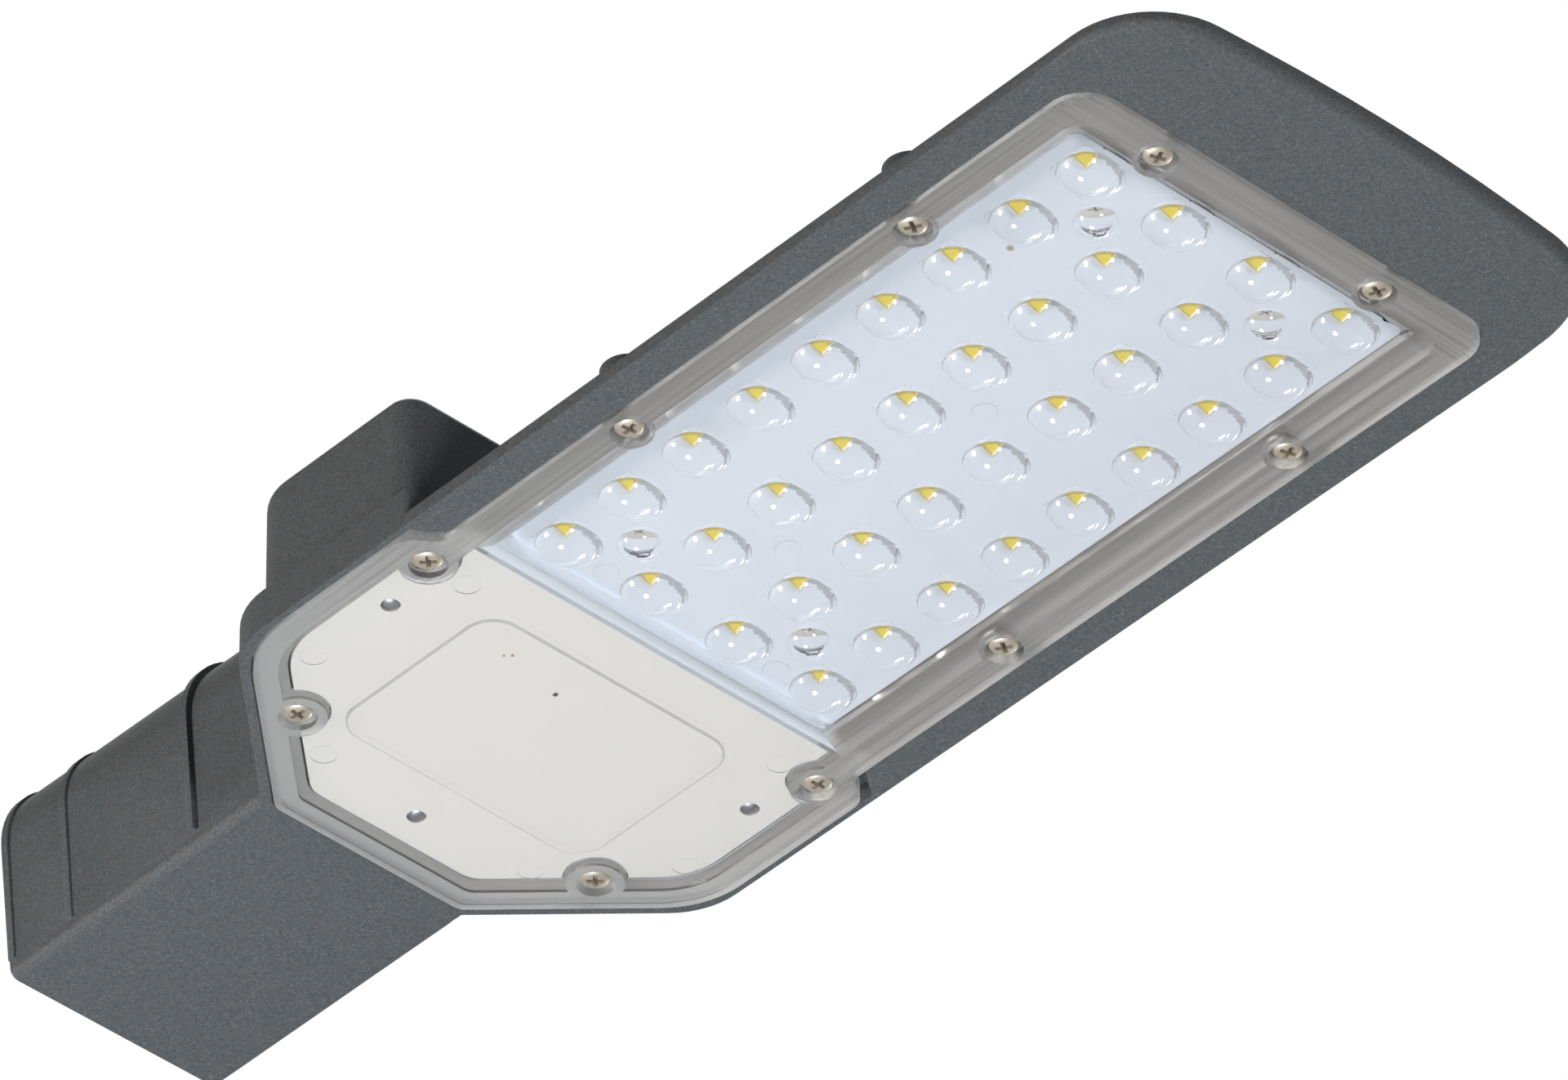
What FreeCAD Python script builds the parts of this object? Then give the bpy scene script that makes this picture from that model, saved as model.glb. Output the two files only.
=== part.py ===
import FreeCAD
import Part
import Sketcher

import math
import os
import re

# A street light head that slides onto a horizontal pole and shines downwards.
# X runs from the mouth of the pole socket to the far end, Z is up, and the origin
# is the middle of the mouth, on the axis of the socket. Lengths are millimetres.

SIZES = {
    # the whole head
    "head_length": 401.5,
    "housing_width": 136.8,
    "housing_corner": 22.0,
    "far_bow": 3.5,
    "bow_share": 0.55,
    "shoulder_round": 20.0,
    "axis_height": 29.0,
    "lip_thickness": 3.3,
    # pole adapter
    "adapter_length": 81.0,
    "adapter_foot_width": 60.0,
    "adapter_height": 57.0,
    "adapter_lean": 5.3,
    "adapter_round": 21.0,
    "adapter_taper": 1.0,
    "foot_round": 2.5,
    "bore_diameter": 51.0,
    "bore_depth": 76.0,
    "bead_width": 2.0,
    "bead_height": 0.8,
    "stop_bead_height": 1.5,
    "bead_lift": 4.0,
    "middle_bead": 19.3,
    "stop_bead": 60.5,
    "neck_start": 74.0,
    "wire_hole": 12.0,
    "wire_hole_drop": 8.0,
    # clamp bolts on top of the adapter
    "bolt_diameter": 8.0,
    "bolt_first": 20.0,
    "bolt_spacing": 32.0,
    "bolt_boss": 18.0,
    "bolt_boss_top": 62.0,
    "bolt_head_flats": 13.0,
    "bolt_head_height": 5.3,
    "bolt_grip": 7.0,
    "nut_height": 6.5,
    # driver box
    "nose_run": 36.8,
    "nose_end_width": 53.2,
    "rim_wall": 2.5,
    "side_wall": 1.5,
    "nose_wall": 2.3,
    "base_height": 10.3,
    "base_overrun": 1.0,
    "base_front_round": 2.0,
    "box_start": 118.5,
    "box_end": 173.2,
    "box_top": 39.0,
    "box_inset": 0.8,
    "box_back_round": 14.5,
    "box_front_round": 6.0,
    "box_edge_round": 2.5,
    "box_wall": 3.5,
    # heat sink over the board
    "crown_start": 170.0,
    "crown_end": 378.0,
    "crown_margin": 2.4,
    "crown_top": 12.5,
    "crown_slope": 40.0,
    "fin_count": 9,
    "fin_pitch": 11.0,
    "fin_thickness": 2.4,
    "fin_top": 24.0,
    "fin_start": 184.0,
    "fin_end": 356.0,
    "fin_slope": 9.0,
    "boss_diameter": 12.6,
    "boss_top": 16.0,
    # clear cover
    "cover_gap": 0.5,
    "cover_margin": 8.8,
    "cover_far": 371.3,
    "cover_proud": 0.8,
    "cover_rim": 4.3,
    "cover_bead": 1.6,
    "bead_drop": 0.4,
    "cover_far_round": 9.0,
    "cover_nose_round": 24.0,
    "cover_end_round": 4.0,
    "step_inner": 175.0,
    "step_run": 5.0,
    "step_round": 5.0,
    "step_inner_round": 2.5,
    "pocket_step_slack": 2.4,
    "window_band": 5.4,
    "window_depth": 1.2,
    "window_plate": 2.0,
    # recess over the board, with its lenses
    "field_near": 178.1,
    "field_far": 356.5,
    "field_margin": 12.7,
    "field_slope": 5.8,
    "field_far_slope": 7.0,
    "field_round": 6.0,
    "tub_round": 1.5,
    "field_depth": 4.4,
    "field_plate": 2.2,
    "tub_wall": 2.0,
    "lens_centre": 268.5,
    "lens_columns": 9,
    "lens_rows": 4,
    "lens_pitch": 20.0,
    "lens_edge": 10.15,
    "lens_diameter": 13.0,
    "lens_height": 4.3,
    "lobe_diameter": 12.4,
    "lobe_height": 3.1,
    "lobe_shift": 1.9,
    "lens_pocket": 11.0,
    "lens_pocket_round": 1.0,
    "lens_pocket_depth": 0.5,
    "cap_diameter": 9.8,
    "cap_height": 3.4,
    "cap_hollow": 1.2,
    "cap_hollow_diameter": 6.4,
    # cover screws
    "screw_diameter": 3.5,
    "screw_head": 6.4,
    "screw_head_height": 1.8,
    "screw_length": 12.0,
    "counterbore": 8.6,
    "screw_floor": 1.3,
    "screw_pad": 13.0,
    "pad_wall": 1.1,
    "thread_gap": 0.05,
    "hole_gap": 0.35,
    "far_screw_x": 364.2,
    "far_screw_y": 31.5,
    "front_screw_x": 314.7,
    "back_screw_x": 227.8,
    "side_screw_inset": 14.4,
    "corner_screw_x": 167.1,
    "corner_screw_inset": 12.1,
    "nose_screw_x": 110.1,
    "nose_screw_inset": 11.83,
    "nose_boss": 11.0,
    # gasket and the two chambers that it seals
    "gasket_thickness": 1.0,
    "gasket_edge": 1.0,
    "gasket_slot": 3.7,
    "chamber_side_gap": 3.0,
    "chamber_far": 359.4,
    "chamber_depth": 4.8,
    "driver_chamber_margin": 10.9,
    "ledge": 2.0,
    "nose_chamber_depth": 2.6,
    "middle_width": 46.0,
    "middle_top": 30.0,
    "channel_width": 30.0,
    # white cover of the driver chamber
    "plate_margin": 9.8,
    "plate_end": 91.6,
    "plate_front": 175.8,
    "plate_thickness": 2.0,
    "plate_nose_run": 32.8,
    "plate_end_width": 46.0,
    "plate_front_margin": 17.4,
    "plate_side_round": 18.0,
    "plate_end_round": 7.0,
    "plate_notch": 14.4,
    "plate_fit": 0.3,
    "panel_start": 113.6,
    "panel_end": 163.3,
    "panel_width": 70.4,
    "panel_round": 7.0,
    "panel_proud": 0.5,
    "panel_slope": 60.0,
    "mark_diameter": 6.0,
    "mark_depth": 0.15,
    "mark_front_x": 166.9,
    "mark_front_inset": 23.2,
    "mark_side_x": 127.3,
    "mark_side_inset": 14.7,
    "mark_end_x": 103.6,
    "mark_end_y": 29.9,
    "pin_diameter": 2.4,
    "pin_head": 4.2,
    "pin_head_height": 1.0,
    "pin_length": 7.0,
    "pin_side_x": 150.1,
    "pin_side_inset": 16.5,
    "pin_end_x": 100.0,
    "pin_boss": 7.0,
    # board and light sources
    "board_thickness": 1.6,
    "board_margin": 0.8,
    "pad_thickness": 0.5,
    "pad_margin": 2.0,
    "tongue_width": 24.0,
    "tongue_start": 163.0,
    "led_side": 3.0,
    "led_height": 0.7,
    "led_window": 2.4,
    "board_screw_offset": 3.5,
    "board_screw": 3.0,
    "board_screw_head": 5.4,
    "board_screw_height": 0.9,
    "board_screw_length": 4.6,
    "connector_start": 163.6,
    "connector_length": 6.0,
    "connector_width": 10.0,
    "connector_height": 2.3,
    # driver
    "driver_start": 124.0,
    "driver_end": 160.5,
    "driver_side_gap": 10.5,
    "driver_bottom": 6.4,
    "driver_wall": 1.6,
    "driver_lid": 1.4,
    "driver_tab": 8.0,
    "driver_tab_x": 134.0,
    "driver_tab_width": 14.0,
    "driver_tab_thickness": 2.0,
    "driver_screw": 3.5,
    "driver_screw_head": 7.0,
    "driver_screw_length": 5.0,
    "circuit_thickness": 1.6,
    "circuit_gap": 3.0,
    "core_length": 12.0,
    "core_leg": 8.0,
    "core_yoke": 3.0,
    "core_outer_leg": 3.5,
    "winding_length": 20.0,
    "winding_gap": 0.2,
    "core_width": 24.0,
    "core_height": 15.0,
    "core_middle": -4.0,
    "capacitor_diameter": 12.0,
    "capacitor_height": 17.0,
    "capacitor_inset": 10.0,
    "capacitor_spacing": 15.0,
    "coil_diameter": 15.0,
    "coil_hole": 6.0,
    "coil_height": 8.0,
    "coil_place": -30.0,
    # terminals, grommet and earth screw
    "terminal_length": 15.0,
    "terminal_pitch": 9.0,
    "terminal_poles": 3,
    "terminal_height": 13.0,
    "terminal_start": 99.0,
    "terminal_wire_hole": 3.4,
    "terminal_wire_height": 25.0,
    "terminal_screw": 3.0,
    "terminal_screw_head": 4.6,
    "terminal_screw_depth": 2.0,
    "terminal_screw_x": 3.6,
    "terminal_well": 3.0,
    "grommet_flange": 17.0,
    "grommet_hole": 7.0,
    "grommet_lip": 2.0,
    "earth_screw": 4.0,
    "earth_head": 7.5,
    "earth_head_height": 2.6,
    "earth_length": 6.0,
    "earth_washer": 9.5,
    "earth_washer_thickness": 0.8,
    "earth_y": 18.0,
    "earth_x": 116.0,
    # leads inside the head
    "led_lead": 1.3,
    "led_lead_spacing": 4.0,
    "mains_lead": 2.2,
    "lead_reach": 3.0,
}

doc = FreeCAD.newDocument("StreetLightHead")
sheet = doc.addObject("Spreadsheet::Sheet", "Sizes")
for row, (alias, size) in enumerate(SIZES.items(), start=1):
    sheet.set(f"A{row}", alias)
    sheet.set(f"B{row}", str(size))
    sheet.setAlias(f"B{row}", alias)
doc.recompute()

FUNCTIONS = ("sqrt", "sin", "cos", "tan", "atan", "deg")

# Widths that follow the width of the housing.
COVER_DRIVER_HALF = "(housing_width / 2 - side_wall - cover_gap)"
COVER_WIDTH = "(housing_width - 2 * cover_margin)"
FIELD_WIDTH = f"({COVER_WIDTH} - 2 * field_margin)"
CHAMBER_WIDTH = f"({FIELD_WIDTH} + 2 * chamber_side_gap)"
LENS_ROW_PITCH = f"(({FIELD_WIDTH} - 2 * lens_edge) / (lens_rows - 1))"
PLATE_HALF = "(housing_width / 2 - plate_margin)"
DRIVER_CHAMBER_WIDTH = "(housing_width - 2 * driver_chamber_margin)"
DRIVER_WIDTH = f"({DRIVER_CHAMBER_WIDTH} - 2 * driver_side_gap)"
NOSE_RISE = f"({COVER_DRIVER_HALF} - nose_end_width / 2)"
NOSE_SLANT = f"sqrt(nose_run * nose_run + {NOSE_RISE} * {NOSE_RISE})"
COVER_END = "adapter_length + rim_wall + cover_gap"

# The far end is two straight lines that meet in a wide arc in the middle.
FAR_PEAK = "(far_bow * bow_share / (2 - bow_share))"
FAR_ROUND = f"(bow_share * housing_width * housing_width / 4 / (far_bow + {FAR_PEAK}))"

# Heights are given from the plane of the rim, which lies below the socket's axis.
RIM = "-axis_height"
COVER_FACE = f"{RIM} - cover_proud"
COVER_BACK = f"{COVER_FACE} + cover_rim"
SEAT = f"{COVER_BACK} + gasket_thickness"
FIELD = f"{COVER_FACE} + field_depth"
FIELD_BACK = f"{FIELD} + field_plate"
CEILING = f"{SEAT} + chamber_depth"
BOARD_BACK = f"{CEILING} - pad_thickness"
BOARD_FACE = f"{BOARD_BACK} - board_thickness"
SCREW_SEAT = f"{COVER_BACK} - screw_floor"
PLATE_FACE = f"{SEAT} - plate_thickness"
BOX_CEILING = f"{RIM} + box_top - box_wall"
MIDDLE_CEILING = f"{RIM} + middle_top"
DRIVER_FACE = f"{RIM} + driver_bottom"
LID_TOP = f"{DRIVER_FACE} + driver_lid"
CIRCUIT_BACK = f"{LID_TOP} + circuit_gap"
CIRCUIT_FACE = f"{CIRCUIT_BACK} + circuit_thickness"
BOLT_SEAT = f"{RIM} + bolt_boss_top"

# The hole of each screw ends a little deeper than the screw.
SCREW_END = f"{SCREW_SEAT} + screw_length + hole_gap"
PIN_END = f"{PLATE_FACE} + pin_head_height + pin_length + hole_gap"
BOARD_SCREW_END = f"{BOARD_FACE} + board_screw_length + hole_gap"
DRIVER_SCREW_END = f"{BOX_CEILING} - driver_tab_thickness + driver_screw_length + hole_gap"
EARTH_END = f"{MIDDLE_CEILING} - earth_washer_thickness + earth_length + hole_gap"

# Screws through the clear cover, by the form of the housing round them.
SIDE_Y = "(housing_width / 2 - side_screw_inset)"
CORNER_Y = "(housing_width / 2 - corner_screw_inset)"
NOSE_Y = f"(nose_end_width / 2 + {NOSE_RISE} * (nose_screw_x - ({COVER_END})) / nose_run - nose_screw_inset)"
SIDE_SCREWS = [(x, f"{side}{SIDE_Y}") for x in ("back_screw_x", "front_screw_x") for side in ("-", "")]
FAR_SCREWS = [("far_screw_x", f"{side}far_screw_y") for side in ("-", "")]
CORNER_SCREWS = [("corner_screw_x", f"{side}{CORNER_Y}") for side in ("-", "")]
NOSE_SCREWS = [("nose_screw_x", f"{side}{NOSE_Y}") for side in ("-", "")]
BOARD_SIDE_SCREWS = SIDE_SCREWS + FAR_SCREWS
DRIVER_SIDE_SCREWS = CORNER_SCREWS + NOSE_SCREWS
COVER_SCREWS = BOARD_SIDE_SCREWS + DRIVER_SIDE_SCREWS
PIN_Y = "(housing_width / 2 - pin_side_inset)"
PINS = [("pin_side_x", f"-{PIN_Y}"), ("pin_side_x", PIN_Y), ("pin_end_x", "0")]
BOARD_SCREWS = [
    (f"lens_centre + {along} * board_screw_offset * lens_pitch", f"{across} * {LENS_ROW_PITCH}")
    for along in (-1, 1)
    for across in (-1, 1)
]
BOLTS = ["bolt_first", "bolt_first + bolt_spacing"]
DRIVER_SCREWS = [("driver_tab_x", f"{side}({DRIVER_WIDTH} + driver_tab) / 2") for side in ("-", "")]
EARTH = ("earth_x", "-earth_y")
MARK_PLACES = (
    ("mark_front_x", "(housing_width / 2 - mark_front_inset)"),
    ("mark_side_x", "(housing_width / 2 - mark_side_inset)"),
    ("mark_end_x", "mark_end_y"),
)
MOULD_MARKS = [(x, f"{side}{y}") for x, y in MARK_PLACES for side in ("-", "")]

# Leads cross the walls of the driver's case at these places across the head.
LED_LEADS = [(f"{side}led_lead_spacing / 2", f"{BOARD_BACK} + connector_height / 2") for side in ("-", "")]
MAINS_LEADS = [(f"{side}terminal_pitch", f"{RIM} + terminal_wire_height") for side in ("-", "")]


def cells(formula):
    """Turn the bare names of a formula into references to the sheet."""
    def refer(match):
        word = match.group(0)
        return word if word in FUNCTIONS else "Sizes." + word
    return re.sub(r"[a-z][a-z_]+", refer, formula)


def value(formula):
    return float(sheet.evalExpression(cells(formula)))


def bind(item, prop, formula):
    item.setExpression(prop, cells(formula))


def new_body(label):
    body = doc.addObject("PartDesign::Body", label)
    body.Label = label
    return body


def origin_feature(body, role):
    return next(item for item in body.Origin.OriginFeatures if item.Role == role)


def new_sketch(body, name, role="XY_Plane", offset=("0", "0", "0")):
    """A sketch on a body's own plane, moved by three formulas in the plane's axes."""
    sketch = body.newObject("Sketcher::SketchObject", name)
    sketch.AttachmentSupport = [(origin_feature(body, role), "")]
    sketch.MapMode = "FlatFace"
    for axis, formula in zip("xyz", offset):
        if formula != "0":
            bind(sketch, f"AttachmentOffset.Base.{axis}", formula)
    return sketch


def fix_point(sketch, geometry, place, point):
    """Tie a point of the sketch to the two formulas of its place."""
    for kind, formula in zip(("DistanceX", "DistanceY"), place):
        index = sketch.addConstraint(Sketcher.Constraint(kind, -1, 1, geometry, point, value(formula)))
        name = f"place{geometry}{kind[-1]}"
        sketch.renameConstraint(index, name)
        bind(sketch, f"Constraints.{name}", formula)


def draw_loop(sketch, corners):
    """A closed outline. Each corner has two formulas, and a third where it is rounded."""
    spots = [FreeCAD.Vector(value(corner[0]), value(corner[1]), 0) for corner in corners]
    first = sketch.GeometryCount
    count = len(corners)
    for index, spot in enumerate(spots):
        sketch.addGeometry(Part.LineSegment(spot, spots[(index + 1) % count]), False)
    for index in range(count):
        follower = first + (index + 1) % count
        sketch.addConstraint(Sketcher.Constraint("Coincident", first + index, 2, follower, 1))
    for index, corner in enumerate(corners):
        fix_point(sketch, first + index, corner[:2], 1)
    for index, corner in enumerate(corners):
        if len(corner) == 3:
            round_corner(sketch, first, index, spots, corner[2])


def round_corner(sketch, first, index, spots, radius):
    """An arc tangent to both edges of a corner, which stays as a point of the sketch."""
    before = spots[index - 1]
    here = spots[index]
    after = spots[(index + 1) % len(spots)]
    incoming = first + (index - 1) % len(spots)
    arc = sketch.GeometryCount
    size = value(radius)
    sketch.fillet(incoming, first + index, (before + here) * 0.5, (here + after) * 0.5, size, True, True)
    constraint = sketch.addConstraint(Sketcher.Constraint("Radius", arc, size))
    name = f"round{first}_{index}"
    sketch.renameConstraint(constraint, name)
    bind(sketch, f"Constraints.{name}", radius)


def draw_circles(sketch, centres, diameter):
    for centre in centres:
        spot = FreeCAD.Vector(value(centre[0]), value(centre[1]), 0)
        circle = Part.Circle(spot, FreeCAD.Vector(0, 0, 1), value(diameter) / 2)
        index = sketch.addGeometry(circle, False)
        fix_point(sketch, index, centre, 3)
        size = sketch.addConstraint(Sketcher.Constraint("Diameter", index, value(diameter)))
        sketch.renameConstraint(size, f"size{index}")
        bind(sketch, f"Constraints.size{index}", diameter)


def extrude(body, name, sketch, length, cut=False, taper=None):
    """Pad the sketch along its normal, or cut the same way, and see that the solid changes."""
    before = body.Shape.Volume if body.Tip is not None and not body.Shape.isNull() else 0.0
    feature = body.newObject("PartDesign::Pocket" if cut else "PartDesign::Pad", name)
    feature.Profile = sketch
    feature.Reversed = cut
    bind(feature, "Length", length)
    if taper:
        bind(feature, "TaperAngle", taper)
    doc.recompute()
    after = feature.Shape.Volume
    if (after >= before) if cut else (after <= before):
        raise RuntimeError(f"{body.Label}: {name} changed nothing")
    return feature


def block(body, name, corners, low, high, cut=False, taper=None):
    sketch = new_sketch(body, f"{name}Outline", offset=("0", "0", low))
    draw_loop(sketch, corners)
    return extrude(body, name, sketch, f"({high}) - ({low})", cut, taper)


def drum(body, name, centres, diameter, low, high, cut=False):
    sketch = new_sketch(body, f"{name}Outline", offset=("0", "0", low))
    draw_circles(sketch, centres, diameter)
    return extrude(body, name, sketch, f"({high}) - ({low})", cut)


def threaded(body, name, centres, thread, low, high):
    """Holes for a thread, wider than it by a gap all round."""
    return drum(body, name, centres, f"{thread} + 2 * thread_gap", low, high, cut=True)


def rectangle(x_low, x_high, width, low_round=None, high_round=None):
    """Corners of a rectangle that lies across the middle plane of the head."""
    low = (low_round,) if low_round else ()
    high = (high_round,) if high_round else ()
    return [
        (x_low, f"-({width}) / 2", *low),
        (x_high, f"-({width}) / 2", *high),
        (x_high, f"({width}) / 2", *high),
        (x_low, f"({width}) / 2", *low),
    ]


def box_round(centre_x, centre_y, length, width):
    """Corners of a rectangle round a point."""
    signs = ((-1, -1), (1, -1), (1, 1), (-1, 1))
    return [
        (f"{centre_x} + {sx} * ({length}) / 2", f"{centre_y} + {sy} * ({width}) / 2")
        for sx, sy in signs
    ]


def fillet(body, name, edges, radius):
    base = body.Tip
    feature = body.newObject("PartDesign::Fillet", name)
    feature.Base = (base, edges)
    bind(feature, "Radius", radius)
    doc.recompute()
    return feature


def flat_edges(body, height, inside):
    """Names of the level edges at a height whose middles pass a test."""
    level = value(height)
    found = []
    for index, edge in enumerate(body.Tip.Shape.Edges, start=1):
        if any(abs(vertex.Point.z - level) > 1e-3 for vertex in edge.Vertexes):
            continue
        middle = edge.valueAt((edge.FirstParameter + edge.LastParameter) / 2)
        if abs(middle.z - level) < 1e-3 and inside(middle):
            found.append(f"Edge{index}")
    return found


def copies(label, master, places):
    """One node that holds separate copies of a solid, each moved to its place."""
    doc.recompute()
    shapes = []
    for place in places:
        shape = master.Shape.copy()
        shape.translate(FreeCAD.Vector(*(value(formula) for formula in place)))
        shapes.append(shape)
    node = doc.addObject("Part::Feature", label)
    node.Label = label
    node.Shape = Part.makeCompound(shapes)
    return node


# Outlines of the head, seen from above.

STEP_RISE = "(cover_margin - side_wall - cover_gap)"
STEP_SLANT = f"sqrt(step_run * step_run + {STEP_RISE} * {STEP_RISE})"


def mirrored(points):
    """Close an outline that is the same on both sides of the head."""
    other = [(x, f"-({y})", *rest) for x, y, *rest in reversed(points)]
    return points + other


def cover_nose(inset):
    """Side and end corner of the clear cover's nose, moved inwards."""
    nose_shift = f"({NOSE_SLANT} - nose_run) / {NOSE_RISE} * ({inset})"
    end_shift = f"({NOSE_SLANT} - {NOSE_RISE}) / nose_run * ({inset})"
    half = f"{COVER_DRIVER_HALF} - ({inset})"
    return [
        (f"{COVER_END} + nose_run + {nose_shift}", half, f"cover_nose_round - ({inset})"),
        (f"{COVER_END} + ({inset})", f"nose_end_width / 2 - {end_shift}", "cover_end_round"),
    ]


def cover_corners(inset, slack="0", step_round="step_round"):
    """The clear cover's outline, moved inwards, with slack at the step for the housing."""
    step_shift = f"({STEP_SLANT} - step_run) / {STEP_RISE} * ({inset})"
    half = f"{COVER_DRIVER_HALF} - ({inset})"
    narrow = f"{COVER_WIDTH} / 2 - ({inset})"
    step = f"step_inner - {step_shift} + ({slack})"
    inner_round = f"step_inner_round + ({inset})"
    return mirrored([
        (f"cover_far - ({inset})", narrow, f"cover_far_round - ({inset})"),
        (step, narrow, inner_round),
        (f"{step} - step_run", half, step_round),
        *cover_nose(inset),
    ])


# The cast housing: rim, driver box, heat sink and pole adapter in one piece.

def adapter_section(body, name, along, low, grow, foot_round=()):
    """Half-round topped section across the pole, smaller the further it is along the head."""
    sketch = new_sketch(body, name, "YZ_Plane", ("0", "0", along))
    foot = f"adapter_foot_width / 2 + ({grow})"
    shrink = f"adapter_taper * ({along}) / box_start"
    top = f"{foot} + adapter_lean - {shrink}"
    crest = f"{RIM} + adapter_height + ({grow}) - {shrink}"
    rounding = f"adapter_round + ({grow})"
    draw_loop(sketch, [
        (f"-({foot})", low, *foot_round),
        (foot, low, *foot_round),
        (top, crest, rounding),
        (f"-({top})", crest, rounding),
    ])
    return sketch


def make_adapter_form(housing):
    adapter = housing.newObject("PartDesign::AdditiveLoft", "Adapter")
    adapter.Profile = adapter_section(housing, "MouthSection", "0", RIM, "0", ("foot_round",))
    adapter.Sections = [adapter_section(housing, "NeckSection", "box_start", RIM, "0", ("foot_round",))]
    adapter.Ruled = True
    doc.recompute()
    wedge = new_sketch(housing, "NeckSide", "XZ_Plane")
    draw_loop(wedge, [
        ("neck_start", f"{RIM} + adapter_height"),
        ("box_start", f"{RIM} + box_top"),
        ("box_start", f"{RIM} + 2 * adapter_height"),
        ("neck_start", f"{RIM} + 2 * adapter_height"),
    ])
    neck = housing.newObject("PartDesign::Pocket", "Neck")
    neck.Profile = wedge
    neck.SideType = "Symmetric"
    bind(neck, "Length", "2 * housing_width")
    doc.recompute()
    beads = (
        ("MouthBead", "0", "bead_height"),
        ("MiddleBead", "middle_bead", "bead_height"),
        ("StopBead", "stop_bead", "stop_bead_height"),
    )
    for name, start, height in beads:
        section = adapter_section(housing, f"{name}Section", start, f"{RIM} + bead_lift", height)
        extrude(housing, name, section, "bead_width")
    bolts = [(bolt, "0") for bolt in BOLTS]
    drum(housing, "BoltBoss", bolts, "bolt_boss", "bore_diameter / 4", f"{RIM} + bolt_boss_top")


def housing_corners():
    """The rim's outline, which narrows to the adapter."""
    half = "housing_width / 2"
    wall = f"({NOSE_SLANT} * (nose_wall + cover_gap) - nose_run * (side_wall + cover_gap))"
    run = f"rim_wall + cover_gap + nose_run - {wall} / {NOSE_RISE}"
    sides = mirrored([
        ("head_length - far_bow", half, "housing_corner"),
        (f"adapter_length + {run}", half, "shoulder_round"),
        ("adapter_length", f"{half} - {NOSE_RISE} * ({run}) / nose_run"),
    ])
    return sides + [(f"head_length + {FAR_PEAK}", "0", FAR_ROUND)]


def make_housing():
    housing = new_body("housing")
    outline = housing_corners()
    block(housing, "Rim", outline, RIM, f"{RIM} + lip_thickness")

    above_lip = f"{RIM} + lip_thickness"
    front = ("box_end + base_overrun", "housing_width / 2", "base_front_round")
    base = mirrored([front, *outline[1:3]])
    block(housing, "DriverBase", base, above_lip, f"{RIM} + base_height")

    width = "housing_width - 2 * box_inset"
    box = rectangle("box_start", "box_end", width, "box_back_round", "box_front_round")
    block(housing, "DriverBox", box, f"{RIM} + base_height", f"{RIM} + box_top")
    top = flat_edges(housing, f"{RIM} + box_top", lambda middle: True)
    fillet(housing, "BoxTopRound", top, "box_edge_round")

    crown = rectangle("crown_start", "crown_end", "housing_width - 2 * crown_margin")
    block(housing, "Crown", crown, above_lip, f"{RIM} + crown_top", taper="-crown_slope")

    make_adapter_form(housing)
    make_fins(housing)
    drum(housing, "SideBoss", BOARD_SIDE_SCREWS, "boss_diameter", above_lip, f"{RIM} + boss_top")
    drum(housing, "NoseBoss", NOSE_SCREWS, "nose_boss", above_lip, f"{RIM} + boss_top")
    make_chambers(housing)
    make_holes(housing)
    return housing


def make_fins(housing):
    """Cooling fins along the head, each with sloping ends, patterned across it."""
    first = "-fin_pitch * (fin_count - 1) / 2"
    side = new_sketch(housing, "FinSide", "XZ_Plane", ("0", "0", f"-({first})"))
    draw_loop(side, [
        ("fin_start", f"{RIM} + crown_top - 1"),
        ("fin_end", f"{RIM} + crown_top - 1"),
        ("fin_end - fin_slope", f"{RIM} + fin_top"),
        ("fin_start + fin_slope", f"{RIM} + fin_top"),
    ])
    fin = housing.newObject("PartDesign::Pad", "Fin")
    fin.Profile = side
    fin.SideType = "Symmetric"
    bind(fin, "Length", "fin_thickness")
    doc.recompute()
    row = housing.newObject("PartDesign::LinearPattern", "FinRow")
    row.Originals = [fin]
    row.Direction = (origin_feature(housing, "Y_Axis"), [""])
    bind(row, "Length", "fin_pitch * (fin_count - 1)")
    bind(row, "Occurrences", "fin_count")
    housing.Tip = row
    doc.recompute()


def plate_nose(inset, front):
    """Half of the white plate's outline behind a line across the head, moved inwards."""
    half = f"{PLATE_HALF} - ({inset})"
    end_half = f"plate_end_width / 2 - ({inset}) / 2"
    return [
        (front, half),
        (f"plate_end + plate_nose_run + ({inset}) / 2", half, f"plate_side_round - ({inset})"),
        (f"plate_end + ({inset})", end_half, "plate_end_round"),
    ]


def plate_corners(inset, front):
    """The white plate's outline, narrower in front of the corner screws, moved inwards."""
    front_half = f"housing_width / 2 - plate_front_margin - ({inset})"
    corners = [(front, front_half), ("corner_screw_x", front_half)]
    return mirrored(corners + plate_nose(inset, "corner_screw_x"))


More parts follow.
